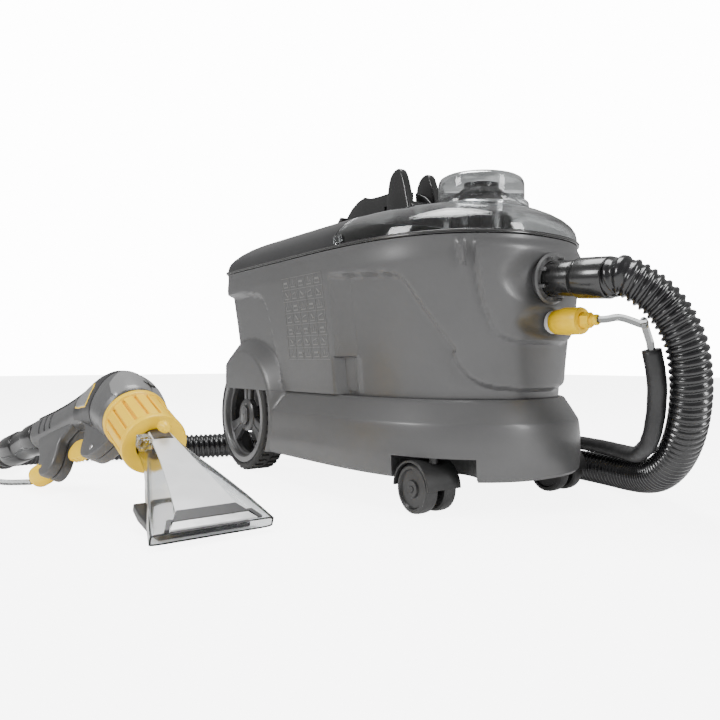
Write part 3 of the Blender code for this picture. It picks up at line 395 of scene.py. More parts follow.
CLEAR_HOSE = clear_plastic("clear vinyl tube", (0.93, 0.95, 0.95), 0.06, 0.05, 1.35)
tail = MACHINE + COUPLING + Vector((0, -0.0703, 0))
into = (sleeve_ends[0] - sleeve_ends[1]).normalized()
mouth = sleeve_ends[0] + into * 0.0003
spray_free = [tail + Vector((0, -0.010, 0)), tail + Vector((0.002, -0.028, 0.0010)),
              tail + Vector((0.010, -0.052, -0.008)), mouth + into * 0.030 + Vector((-0.001, 0.004, 0.002)),
              mouth + into * 0.008]
spray_line = [tail] + smooth_route(spray_free, 0.004) + [mouth]
spray_hose = sheath("spray_hose_clear", spray_line, 18, lambda run, angle: SPRAY_R)
settle(spray_hose, CLEAR_HOSE, "clear_hose", "machine", "spray_hose")
tool_line = (GUN.to_3x3() @ TOOL_COUPLING_LINE).normalized()
tool_tail = GUN @ TOOL_COUPLING + tool_line * 0.0443
leave = (sleeve_ends[-1] - sleeve_ends[-2]).normalized()
tool_mouth = sleeve_ends[-1] + leave * 0.0003
tool_free = [tool_tail + tool_line * 0.008] + [MACHINE + Vector(p) for p in TOOL_SPRAY_ROUTE] \
    + [tool_mouth + leave * 0.012]
tool_spray_line = [tool_tail] + smooth_route(tool_free, 0.004) + [tool_mouth]
spray_hose_end = sheath("spray_hose_end_clear", tool_spray_line, 18, lambda run, angle: SPRAY_R)
settle(spray_hose_end, CLEAR_HOSE, "clear_hose", "machine", "spray_hose_end")

# ---- hose cuff and port ------------------------------------------------------------------------
# Glossy black swivel cuff, pushed into the suction port. The port is a grey ring moulded into the housing,
# with eight small claws that catch the cuff's collar.
CUFF_BLACK = moulded("cuff polymer", (0.006, 0.006, 0.006), (0.012, 0.012, 0.012), 0.24, 500, 0.03, 12, 0.06,
                     0.5)
BODY_GREY = moulded("housing polymer", (0.084, 0.084, 0.085), (0.094, 0.094, 0.095), 0.38, 1500, 0.10, 6,
                    0.08, 0.12)


def lathe(name, profile, steps, place, closed=False, edge=None):
    """Draws a circle and extrudes it along a profile of (radius, height) points, as on a lathe.
    A closed profile is a ring with a hole; an open one gets flat ends."""
    deselect()
    radius, height = profile[0]
    bpy.ops.mesh.primitive_circle_add(vertices=steps, radius=radius, location=(0, 0, height),
                                      fill_type="NOTHING" if closed else "NGON")
    piece = bpy.context.object
    piece.name = name
    bpy.ops.object.transform_apply(location=True)
    bpy.ops.object.mode_set(mode="EDIT")
    bpy.ops.mesh.select_all(action="SELECT")
    bpy.ops.mesh.select_mode(type="EDGE")
    for (r0, z0), (r1, z1) in zip(profile, profile[1:] + (profile[:1] if closed else [])):
        bpy.ops.mesh.extrude_region_move(TRANSFORM_OT_translate={"value": (0, 0, z1 - z0)})
        if abs(r1 - r0) > 1e-9:
            bpy.ops.transform.resize(value=(r1 / r0, r1 / r0, 1), center_override=(0, 0, z1))
    if not closed:
        bpy.ops.mesh.edge_face_add()
    bpy.ops.mesh.select_all(action="SELECT")
    bpy.ops.mesh.remove_doubles(threshold=0.000005)
    bpy.ops.mesh.normals_make_consistent(inside=False)
    bpy.ops.object.mode_set(mode="OBJECT")
    piece.data.transform(place)
    if edge:
        round_edges(piece, edge)
    bpy.ops.object.shade_smooth_by_angle(angle=radians(35))
    return piece


def round_edges(piece, width, segments=2, angle=35):
    """Breaks the sharp edges, as every moulding has them."""
    deselect()
    piece.select_set(True)
    bpy.context.view_layer.objects.active = piece
    step = piece.modifiers.new("broken edges", "BEVEL")
    step.width = width
    step.segments = segments
    step.limit_method = "ANGLE"
    step.angle_limit = radians(angle)
    step.harden_normals = False
    bpy.ops.object.modifier_apply(modifier=step.name)


def along(place, direction, origin=(0, 0, 0)):
    """A matrix that lays local Z along a direction at a place."""
    turn = Vector((0, 0, 1)).rotation_difference(Vector(direction)).to_matrix().to_4x4()
    return Matrix.Translation(Vector(origin) + Vector(place)) @ turn


PORT_PLACE = Matrix.Translation(MACHINE + PORT) @ Euler((radians(90) + PORT_TILT, 0, 0)).to_matrix().to_4x4()
cuff = lathe("hose_cuff_swivel", [(0.0190, -0.0250), (0.0214, -0.0250), (0.0214, 0.0370), (0.0209, 0.0376),
                                  (0.0209, 0.0392), (0.0214, 0.0398), (0.0222, 0.0405), (0.0238, 0.0440),
                                  (0.0240, 0.0470), (0.0240, 0.0850), (0.0232, 0.0868), (0.0190, 0.0870)],
             56, PORT_PLACE, closed=True, edge=0.0003)
settle(cuff, CUFF_BLACK, "hose_black", "machine", "hose_cuff")


def slab(name, size, centre, place, edge=0.0004, segments=2):
    """A block at its size and place with broken edges."""
    deselect()
    bpy.ops.mesh.primitive_cube_add(size=1, location=(0, 0, 0))
    piece = bpy.context.object
    piece.name = name
    piece.data.transform(place @ Matrix.Translation(centre) @ Matrix.Diagonal((*size, 1)))
    round_edges(piece, edge, segments)
    return piece


def joined(pieces, name):
    """Several meshes as one object, as welded in the mould."""
    deselect()
    for piece in pieces:
        piece.select_set(True)
    bpy.context.view_layer.objects.active = pieces[0]
    bpy.ops.object.join()
    pieces[0].name = name
    return pieces[0]


CLAWS = 8
claws = []
for k in range(CLAWS):
    spin = PORT_PLACE @ Matrix.Rotation(2 * pi * (k + 0.5) / CLAWS, 4, "Z")
    claws.append(slab("claw", (0.0034, 0.0042, 0.0100), (0.0262, 0, 0.0058), spin, 0.0006))
port_ring = lathe("port_ring", [(0.0220, 0.0020), (0.0220, -0.0300), (0.0262, -0.0300), (0.0262, -0.0020),
                                (0.0300, -0.0020), (0.0312, 0.0008), (0.0284, 0.0026), (0.0240, 0.0020)],
                  56, PORT_PLACE, closed=True)
port_ring = joined([port_ring] + claws, "hose_port_ring")
settle(port_ring, BODY_GREY, "body_grey", "machine", "hose_port")

# ---- spray coupling at the machine -------------------------------------------------------------
# Yellow quick coupling: a barrel with two pressed finger ovals slides on a hose tail with a hexagon, against
# the white collar of the spray socket.
YELLOW = moulded("yellow polymer", (0.98, 0.60, 0.0), (1.0, 0.65, 0.0), 0.40, 700, 0.04, 16, 0.08, 0.0)
WHITE = moulded("white collar polymer", (0.80, 0.80, 0.79), (0.86, 0.86, 0.85), 0.30, 700, 0.03, 16, 0.06)
TOWARDS = Matrix.Translation(MACHINE + COUPLING) @ Euler((radians(90), 0, 0)).to_matrix().to_4x4()
socket = lathe("spray_socket_collar", [(0.0110, -0.0200), (0.0110, 0.0003), (0.0140, 0.0006),
                                       (0.0143, 0.0022),
                                       (0.0140, 0.0045), (0.0122, 0.0046), (0.0050, 0.0046),
                                       (0.0050, 0.0300)],
               40, TOWARDS)
settle(socket, WHITE, "clear_nozzle", "machine", "spray_socket")


def hexagon(name, across, low, high, place, edge=0.0005):
    """A hexagon nut drawn as a six-sided primitive."""
    deselect()
    bpy.ops.mesh.primitive_cylinder_add(vertices=6, radius=across / 2 / cos(radians(30)), depth=high - low,
                                        location=(0, 0, (low + high) / 2))
    piece = bpy.context.object
    piece.name = name
    bpy.ops.object.transform_apply(location=True)
    piece.data.transform(place)
    round_edges(piece, edge)
    return piece


def coupling_barrel(name, place, long):
    """The sliding barrel: bulged body, rounded shoulders, and an oval thumb pad on two sides."""
    reach = long / 0.0480
    barrel = lathe(name + "_barrel", [(0.0100, 0.0055 * reach), (0.0136, 0.0055 * reach),
                                      (0.0146, 0.0070 * reach),
                                      (0.0152, 0.0120 * reach), (0.0162, 0.0220 * reach),
                                      (0.0165, 0.0300 * reach),
                                      (0.0163, 0.0380 * reach), (0.0164, 0.0440 * reach),
                                      (0.0155, 0.0468 * reach),
                                      (0.0128, 0.0480 * reach), (0.0100, 0.0480 * reach)], 48, place,
                   closed=True)
    pads = []
    for turn in (0, 90, 180, 270):
        deselect()
        bpy.ops.mesh.primitive_uv_sphere_add(segments=20, ring_count=10, radius=1)
        pad = bpy.context.object
        pad.data.transform(place @ Matrix.Rotation(radians(turn + 20), 4,
                                                   "Z") @ Matrix.Translation((0.0152, 0, 0.026 * reach))
                           @ Matrix.Diagonal((0.0016, 0.0052, 0.0095 * reach, 1)))
        pad.data.shade_smooth()
        pads.append(pad)
    return joined([barrel] + pads, name)


barrel = coupling_barrel("machine_coupling_barrel", TOWARDS, 0.0480)
settle(barrel, YELLOW, "yellow", "machine_coupling", "machine_coupling")
hex_tail = joined([hexagon("hex", 0.0165, 0.0484, 0.0600, TOWARDS),
                   lathe("tail_stub", [(0.0092, 0.0310), (0.0092, 0.0484), (0.0060, 0.0490), (0.0060, 0.0640),
                                       (0.0066, 0.0650), (0.0066, 0.0680), (0.0052, 0.0700)], 32, TOWARDS)],
                  "machine_hose_tail_hexagon")
settle(hex_tail, YELLOW, "yellow", "machine", "machine_hose_tail")

# ---- housing: fresh water tank and base --------------------------------------------------------
# Two rotomoulded grey shells with a fine-textured satin skin. The upper one, the clean water tank, is pressed
# in over the wheels and along both flanks, and steps back twice below the ports. The lower one is a flared
# skirt that carries the axle and the castors.
NOSE_POWER = 3.3
SIDE_POWER = 2.3
WHEEL_Y, WHEEL_Z, ARCH_R = 0.190, 0.092, 0.1013
RIM = 0.332
WAIST = 0.1363
TANK_ROWS = [(0.1405, -0.3245, 0.2620, 0.1363), (0.1450, -0.3270, 0.2622, 0.180),
             (0.1535, -0.3330, 0.2645, 0.250),
             (0.1610, -0.3380, 0.2665, 0.305), (0.1640, -0.3390, 0.2670, 0.332)]
BASE_ROWS = [(0.1560, -0.3400, 0.2625, 0.0400), (0.1600, -0.3445, 0.2640, 0.0440),
             (0.1618, -0.3460, 0.2645, 0.0640),
             (0.1612, -0.3455, 0.2642, 0.0900), (0.1600, -0.3440, 0.2638, 0.1030),
             (0.1590, -0.3430, 0.2635, 0.1072),
             (0.1500, -0.3345, 0.2628, 0.1220), (0.1418, -0.3258, 0.2622, 0.1352),
             (0.1405, -0.3245, 0.2622, 0.1360)]


def row_at(rows, z):
    heights = [row[3] for row in rows]
    return [float(np.interp(z, heights, [row[k] for row in rows])) for k in range(3)]


def outline_marks(nose_count, side_count, corner_count, rear_count):
    """Marks along half the outline: nose, straight side, rear corner, rear. Even steps along the nose."""
    angles = np.linspace(0, pi / 2, 2001)
    across = 0.155 * np.cos(angles).clip(0) ** (2 / SIDE_POWER)
    back = -0.335 * np.sin(angles) ** (2 / NOSE_POWER)
    run = np.concatenate([[0], np.cumsum(np.hypot(np.diff(across), np.diff(back)))])
    even = np.interp(np.linspace(run[-1], 0, nose_count + 1), run, angles)
    marks = [("nose", float(a)) for a in even]
    marks += [("side", k / side_count) for k in range(1, side_count + 1)]
    marks += [("corner", k / corner_count * pi / 2) for k in range(1, corner_count + 1)]
    marks += [("rear", k / rear_count) for k in range(1, rear_count)]
    return marks


def mark_point(mark, half_width, nose, rear, corner=0.030):
    kind, value = mark
    if kind == "nose":
        return half_width * max(cos(value), 0.0) ** (2 / SIDE_POWER), nose * sin(value) ** (2 / NOSE_POWER)
    if kind == "side":
        return half_width, (rear - corner) * value
    if kind == "corner":
        return half_width - corner + corner * cos(value), rear - corner + corner * sin(value)
    return (half_width - corner) * (1 - value), rear


def full_ring(marks, row):
    """All round the machine: right half from the nose back, then left half forward. Nose tip and tail once."""
    right = [mark_point(mark, *row) for mark in marks]
    tail_point = (0.0, row[2])
    left = [(-x, y) for x, y in reversed(right[1:])]
    return right + [tail_point] + left


def smoothstep(low, high, value):
    t = np.clip((value - low) / (high - low), 0, 1)
    return t * t * (3 - 2 * t)


def inside_distance(points, polygon):
    """Signed distance to a closed outline, positive inside. points is (n, 2)."""
    polygon = np.array(polygon)
    best = np.full(len(points), 1e9)
    crossings = np.zeros(len(points), bool)
    for a, b in zip(polygon, np.roll(polygon, -1, axis=0)):
        ab = b - a
        t = np.clip(((points - a) @ ab) / (ab @ ab), 0, 1)
        best = np.minimum(best, np.hypot(*(points - a - t[:, None] * ab).T))
        spans = (a[1] > points[:, 1]) != (b[1] > points[:, 1])
        edge_x = a[0] + (points[:, 1] - a[1]) / (b[1] - a[1] + 1e-12) * ab[0]
        crossings ^= spans & (points[:, 0] < edge_x)
    return np.where(crossings, best, -best)


def run_of(x, y):
    """Distance round the outline from the nose tip, for a point given by where it lies on the housing."""
    angles = np.linspace(pi / 2, 0, 1500)
    across = 0.1500 * np.cos(angles).clip(0) ** (2 / SIDE_POWER)
    back = -0.3310 * np.sin(angles) ** (2 / NOSE_POWER)
    run = np.concatenate([[0], np.cumsum(np.hypot(np.diff(across), np.diff(back)))])
    nose_run = np.where(np.abs(x) < 0.10, np.interp(np.abs(x), across, run), np.interp(y, back, run))
    return np.where(y > 0, run[-1] + y, nose_run)


# The pressed panels, as (run from the nose tip, height) outlines on one half of the housing.
FLANK_PANEL = [(-0.02, 0.1465), (0.030, 0.1475), (0.062, 0.1500), (0.080, 0.1545), (0.0950, 0.1630),
               (0.1090, 0.1790), (0.1700, 0.2700), (0.1790, 0.2820), (0.1880, 0.2880), (0.2050, 0.2905),
               (0.3120, 0.2975), (0.3165, 0.2950), (0.3165, 0.1000), (-0.02, 0.1000)]
PORT_PANEL = [(-0.02, 0.2045), (0.030, 0.2045), (0.052, 0.2075), (0.064, 0.2130), (0.0720, 0.2230),
              (0.0850, 0.2500), (0.1000, 0.3000), (0.1080, 0.3400), (-0.02, 0.3400)]
WHEEL_PANEL = [(0.4830, 0.1200), (0.4850, 0.1480), (0.4990, 0.2000), (0.5110, 0.2600), (0.5180, 0.2760),
               (0.5320, 0.2870), (0.5520, 0.2900), (0.5800, 0.2930), (0.7600, 0.2970), (0.7600, 0.1000)]


def press(x, y, z):
    """How far the skin stands out from the plain housing at each point, in metres."""
    run = run_of(x, y)
    place = np.stack([run, z], 1)
    flank = inside_distance(place, FLANK_PANEL)
    port = inside_distance(place, PORT_PANEL)
    wheel = inside_distance(place, WHEEL_PANEL)
    fade = smoothstep(0.330, 0.300, z)
    out = 0.0038 * fade * smoothstep(0.10, 0.20, run)
    # the flank panel starts flush with the label strip and sinks towards the nose
    sink = np.clip((0.3175 - run) / 0.040, 0, 1) ** 0.8
    front = smoothstep(0.19, 0.12, run)
    out -= (0.0090 * (1 - front) + 0.0062 * front) * smoothstep(-0.0032, 0.0032, flank) * np.maximum(sink,
                                                                                                     front)
    # finger notch at the foot of the label strip
    notch = smoothstep(0.1890, 0.1868, z) * smoothstep(0.3300, 0.3120, run) * smoothstep(0.2700, 0.3120, run)
    out -= 0.0120 * notch
    out += 0.0062 * smoothstep(-0.0028, 0.0028, port) * smoothstep(0.331, 0.315, z)
    out -= 0.0092 * smoothstep(-0.0032, 0.0032, wheel) * smoothstep(0.78, 0.70, run)
    # hollows that lead the fingers to both fittings
    for (cx, cz, wide, tall, depth) in ((0.003, 0.282, 0.060, 0.034, 0.0075),
                                        (0.012, 0.230, 0.048, 0.019, 0.0065)):
        reach = np.hypot((x - cx + 0.012) / wide, (z - cz) / tall)
        out -= np.where(y < -0.15, depth * smoothstep(1.05, 0.45, reach), 0)
    return out


def skin_rings(rows, heights, marks, pressed):
    rings = []
    for z in heights:
        ring = np.array(full_ring(marks, row_at(rows, z)))
        if pressed:
            ahead, behind = np.roll(ring, -1, axis=0), np.roll(ring, 1, axis=0)
            tangent = ahead - behind
            tangent /= np.linalg.norm(tangent, axis=1)[:, None]
            outward = np.stack([tangent[:, 1], -tangent[:, 0]], 1)
            out = press(ring[:, 0], ring[:, 1], np.full(len(ring), z))
            ring = ring + outward * out[:, None]
            gap = np.hypot(ring[:, 1] - WHEEL_Y, z - WHEEL_Z)
            flare = np.interp(gap, [0.100, 0.1075, 0.1105, 0.138], [0.1622, 0.1622, 0.1600, 0.1360])
            wide = np.where((gap < 0.138) & (ring[:, 1] < 0.262), np.maximum(np.abs(ring[:, 0]), flare),
                            np.abs(ring[:, 0]))
            ring[:, 0] = np.sign(ring[:, 0]) * wide
        rings.append(np.column_stack([ring, np.full(len(ring), z)]))
    return rings


def tub_rings(rows, inset, heights, marks, limit, nose_limit=-1.0):
    """The inner wall, drawn in from the outer one and kept clear of the wheel wells."""
    rings = []
    for z in heights:
        half_width, nose, rear = row_at(rows, z)
        ring = np.array(full_ring(marks, (half_width - inset(z), max(nose + inset(z), nose_limit),
                                          rear - inset(z))))
        gap = np.hypot(ring[:, 1] - WHEEL_Y, z - WHEEL_Z)
        hold = limit + (np.abs(ring[:, 0]) - limit) * smoothstep(0.108, 0.150, gap)
        ring[:, 0] = np.sign(ring[:, 0]) * np.minimum(np.abs(ring[:, 0]), np.maximum(hold, limit))
        rings.append(np.column_stack([ring, np.full(len(ring), z)]))
    return rings


def ring_solid(name, rings, closed_ends=True):
    """Skins rings of equal count, in order, and closes both ends."""
    count = len(rings[0])
    points = np.concatenate(rings) + np.array(MACHINE)
    faces = []
    for k in range(len(rings) - 1):
        a, b = k * count, (k + 1) * count
        faces += [(a + j, a + (j + 1) % count, b + (j + 1) % count, b + j) for j in range(count)]
    if closed_ends:
        faces.append(tuple(reversed(range(count))))
        faces.append(tuple(range((len(rings) - 1) * count, len(rings) * count)))
    return new_piece(name, points, faces)


def carve(piece, cutters, operation="DIFFERENCE"):
    """Cuts with real shapes, applies each cut and throws the shape away."""
    for cutter in cutters:
        deselect()
        piece.select_set(True)
        bpy.context.view_layer.objects.active = piece
        step = piece.modifiers.new("carve", "BOOLEAN")
        step.operation = operation
        step.object = cutter
        step.solver = "EXACT"
        bpy.ops.object.modifier_apply(modifier=step.name)
        bpy.data.objects.remove(cutter, do_unlink=True)
    return piece


def drum(name, radius, start, end, steps=48):
    """A plain round cutter between two points of the machine."""
    start, end = MACHINE + Vector(start), MACHINE + Vector(end)
    deselect()
    bpy.ops.mesh.primitive_cylinder_add(vertices=steps, radius=radius, depth=(end - start).length)
    cutter = bpy.context.object
    cutter.name = name
    cutter.data.transform(along((start + end) / 2, end - start))
    return cutter


def wheel_drums(inner):
    return [drum("arch", ARCH_R, (side * inner, WHEEL_Y, WHEEL_Z), (side * 0.22, WHEEL_Y, WHEEL_Z), 96)
            for side in (-1, 1)]


def smooth_by_angle(piece, angle=30):
    deselect()
    piece.select_set(True)
    bpy.context.view_layer.objects.active = piece
    bpy.ops.object.shade_smooth_by_angle(angle=radians(angle))


marks = outline_marks(150, 62, 10, 24)
upper_heights = [WAIST + (RIM - WAIST) * k / 74 for k in range(75)]
tank_rings = skin_rings(TANK_ROWS, upper_heights, marks, True)
tank_rings += tub_rings(TANK_ROWS, lambda z: 0.0045 + 0.004 * min(1.0, (RIM - z) / 0.03),
                        [RIM, 0.318, 0.302, 0.260, 0.220, 0.205, 0.190, 0.170, 0.142], marks, 0.104)
tank = carve(ring_solid("fresh_water_tank_shell", tank_rings), wheel_drums(0.110))
port_bore = drum("port_bore", 0.0268, PORT - PORT_LINE * 0.05, PORT + PORT_LINE * 0.03)
socket_bore = drum("socket_bore", 0.0113, COUPLING + Vector((0, 0.03, 0)), COUPLING - Vector((0, 0.03, 0)))
carve(tank, [port_bore, socket_bore])
smooth_by_angle(tank, 32)
settle(tank, BODY_GREY, "body_grey", "machine", "fresh_water_tank")

CASTOR_X, CASTOR_Y = 0.118, -0.2625
base_heights = sorted(set([row[3] for row in BASE_ROWS] + [0.0410, 0.0425, 0.050, 0.057, 0.070, 0.076, 0.083,
                                                           0.097,
                                                          0.1055, 0.1085, 0.112, 0.117, 0.127, 0.131]))


def base_skin(heights, marks):
    rings = []
    for z in heights:
        ring = np.array(full_ring(marks, row_at(BASE_ROWS, z)))
        gap = np.hypot(ring[:, 1] - WHEEL_Y, z - WHEEL_Z)
        lip = np.interp(gap, [0.100, 0.1075, 0.1105, 0.138], [0.1622, 0.1622, 0.1600, 0.1360])
        wide = np.where((gap < 0.138) & (ring[:, 1] < 0.262), np.maximum(np.abs(ring[:, 0]), lip),
                        np.abs(ring[:, 0]))
        ring[:, 0] = np.sign(ring[:, 0]) * wide
        rings.append(np.column_stack([ring, np.full(len(ring), z)]))
    return rings


base_rings = base_skin(base_heights, marks)
base_rings += tub_rings(BASE_ROWS, lambda z: 0.0045, [0.1360], marks, 0.104, -0.196)
base_rings += tub_rings([(0.112, -0.20, 0.2580, 0.04), (0.112, -0.20, 0.2580, 0.136)], lambda z: 0.0045,
                        [0.1352, 0.0435],
                        marks, 0.104, -0.196)
base = carve(ring_solid("base_housing_skirt", base_rings), wheel_drums(0.110))
hollows = []
for side in (-1, 1):
    hollows.append(drum("castor_hollow", 0.0550, (side * CASTOR_X, CASTOR_Y, 0),
                        (side * CASTOR_X, CASTOR_Y, 0.0675), 72))
    hollows.append(drum("castor_bore", 0.0062, (side * CASTOR_X, CASTOR_Y, 0.05),
                        (side * CASTOR_X, CASTOR_Y, 0.090)))
hollows.append(drum("axle_bore", 0.0055, (-0.13, WHEEL_Y, WHEEL_Z), (0.13, WHEEL_Y, WHEEL_Z)))
hollows.append(drum("gland_bore", 0.0083, (0.07, 0.24, 0.085), (0.07, 0.30, 0.085)))
carve(base, hollows)
smooth_by_angle(base, 28)
settle(base, BODY_GREY, "body_grey", "machine", "base_housing")

# ---- hand tool: housing halves -----------------------------------------------------------------
# Two moulded halves joined along the middle: a broad head that runs down into a slim handle. A pale hood with an
# oval air hole sits at the front, a dark saddle with a yellow-lined inlay on each flank, and a black grip on top.
# The air
# hole is not cut: a black oval cap stands in it, and its black is painted shade of the hole's inside.
TOOL_GREY = moulded("tool polymer", (0.085, 0.085, 0.086), (0.098, 0.098, 0.099), 0.34, 1500, 0.08, 14, 0.08,
                    0.1)
TOOL_DARK = moulded("tool dark polymer", (0.022, 0.022, 0.023), (0.030, 0.030, 0.031), 0.40, 1500, 0.10, 14,
                    0.08)
INLAY_GREY = moulded("inlay polymer", (0.20, 0.20, 0.20), (0.23, 0.23, 0.23), 0.30, 900, 0.03, 14, 0.06, 0.2)
GRIP_BLACK = moulded("soft grip", (0.008, 0.008, 0.008), (0.016, 0.016, 0.016), 0.55, 1800, 0.25, 20, 0.10)
STEEL = moulded("turned steel", (0.55, 0.55, 0.56), (0.62, 0.62, 0.63), 0.26, 1200, 0.06, 25, 0.12, 0.0, 1.0)
PLASTIC_BLACK = moulded("black polymer", (0.010, 0.010, 0.010), (0.018, 0.018, 0.018), 0.36, 900, 0.08, 14,
                        0.10)
# (y, z, slope in degrees, half width, half height) of the tool, from its collar to its handle's end
TOOL_ROWS = [(0.0420, 0.000, 0, 0.0385, 0.0385), (0.0500, 0.000, -1, 0.0405, 0.0408),
             (0.0640, 0.000, -4, 0.0412, 0.0432),
             (0.0780, -0.001, -9, 0.0410, 0.0448), (0.0920, -0.003, -15, 0.0398, 0.0450),
             (0.1060, -0.008, -21, 0.0372, 0.0440),
             (0.1200, -0.0155, -27, 0.0338, 0.0415), (0.1330, -0.0240, -32, 0.0300, 0.0375),
             (0.1450, -0.0345, -37, 0.0262, 0.0325),
             (0.1570, -0.0460, -41, 0.0234, 0.0280), (0.1700, -0.0590, -43, 0.0216, 0.0250),
             (0.1850, -0.0745, -45, 0.0208, 0.0236),
             (0.2020, -0.0925, -45, 0.0206, 0.0232), (0.2200, -0.1110, -45, 0.0216, 0.0236),
             (0.2350, -0.1270, -45, 0.0230, 0.0242)]


def tool_row(share):
    """The tool's section at a share of its length, between the drawn ones."""
    place = share * (len(TOOL_ROWS) - 1)
    return [float(np.interp(place, range(len(TOOL_ROWS)), [row[k] for row in TOOL_ROWS])) for k in range(5)]


def tool_point(share, angle, out=0.0):
    """A point of the tool's skin; the angle runs from its right side over its top."""
    y, z, slope, wide, tall = tool_row(share)
    slope = radians(slope)
    power = 2 / 2.35
    c, s = cos(angle), sin(angle)
    across = (wide + out) * abs(c) ** power * (1 if c >= 0 else -1)
    up = (tall + out) * abs(s) ** power * (1 if s >= 0 else -1)
    return Vector((across, y - up * sin(slope), z + up * cos(slope)))


def face_outwards(piece, merge=False):
    """Turns every face of a closed piece outwards, and first merges doubled points where asked."""
    bm = bmesh.new()
    bm.from_mesh(piece.data)
    if merge:
        bmesh.ops.remove_doubles(bm, verts=bm.verts, dist=0.00001)
    bmesh.ops.recalc_face_normals(bm, faces=bm.faces)
    bm.to_mesh(piece.data)
    bm.free()


def walled(name, points, across, steps, place, mirrored=False):
    """Closes two grids of points, the skin and the wall behind it, into one thin solid."""
    row, sheet = across + 1, (steps + 1) * (across + 1)
    faces = []
    for k in range(steps):
        for j in range(across):
            a, b = k * row + j, (k + 1) * row + j
            faces += [(a, b, b + 1, a + 1), (sheet + a + 1, sheet + b + 1, sheet + b, sheet + a)]
    for k in range(steps):
        a, b = k * row, (k + 1) * row
        faces += [(a, sheet + a, sheet + b, b), (b + across, sheet + b + across, sheet + a + across,
                                                 a + across)]
    for j in range(across):
        a = steps * row + j
        faces += [(j, j + 1, sheet + j + 1, sheet + j), (a + 1, a, sheet + a, sheet + a + 1)]
    if mirrored:
        faces = [tuple(reversed(face)) for face in faces]
    piece = new_piece(name, points, faces)
    face_outwards(piece)
    piece.data.transform(place)
    return piece


def tool_half(name, side, steps=84, around=48):
    """One half of the tool's skin with a small groove where the halves meet, and a wall behind it."""
    points = []
    for layer, wall in ((0, 0.0), (1, -0.0024)):
        for k in range(steps + 1):
            for j in range(around + 1):
                angle = -pi / 2 + pi * j / around
                point = tool_point(k / steps, angle, wall)
                seam = 0.0005 * (1.0 if j in (0, around) and not layer else 0.0)
                point = point - Vector((0, 0, seam if angle > 0 else -seam))
                points.append(Vector((side * max(point.x, 0.0002), point.y, point.z)))
    return walled(name, points, around, steps, GUN, mirrored=side < 0)


def plate(name, outline, low, high, place, edge=0.0008, plane="YZ", segments=2):
    """A flat part from its outline, set between two distances along the third axis."""
    axes = {"YZ": lambda u, v, w: (w, u, v), "XY": lambda u, v, w: (u, v, w), "XZ": lambda u, v,
            w: (u, w, v)}[plane]
    bm = bmesh.new()
    rings = [[bm.verts.new(axes(u, v, w)) for u, v in outline] for w in (low, high)]
    bm.faces.new(rings[0])
    bm.faces.new(rings[1])
    for j in range(len(outline)):
        k = (j + 1) % len(outline)
        bm.faces.new((rings[0][j], rings[0][k], rings[1][k], rings[1][j]))
    bmesh.ops.recalc_face_normals(bm, faces=bm.faces)
    piece = new_piece(name, [], [], False)
    bm.to_mesh(piece.data)
    bm.free()
    piece.data.transform(place)
    if edge:
        round_edges(piece, edge, segments, 30)
    smooth_by_angle(piece, 40)
    return piece


def curve_round(points, steps=4):
    """A closed smooth outline through a few drawn points."""
    found = []
    count = len(points)
    for k in range(count):
        a, b, c, d = (Vector(points[(k + j - 1) % count]) for j in range(4))
        for j in range(steps):
            t = j / steps
            found.append(tuple(0.5 * (2 * b + (c - a) * t + (2 * a - 5 * b + 4 * c - d) * t ** 2
                                      + (3 * b - a - 3 * c + d) * t ** 3)))
    return found


def skin_band(name, rows, out, side):
    """A thick panel on the tool's skin. rows are (share, first angle, last angle) in degrees."""
    points = []
    across, steps = 18, 4 * (len(rows) - 1)
    for layer_out in (out, -0.0008):
        for k in range(steps + 1):
            place_in = k / 4
            share, first, last = (float(np.interp(place_in, range(len(rows)),
                                                  [row[c] for row in rows])) for c in range(3))
            for j in range(across + 1):
                angle = radians(first + (last - first) * j / across)
                edge_drop = 0.0006 if (j in (0, across) or k in (0, steps)) and layer_out > 0 else 0.0
                point = tool_point(share, angle, layer_out - edge_drop)
                points.append((side * point.x, point.y, point.z))
    piece = walled(name, points, across, steps, GUN)
    smooth_by_angle(piece, 50)
    return piece


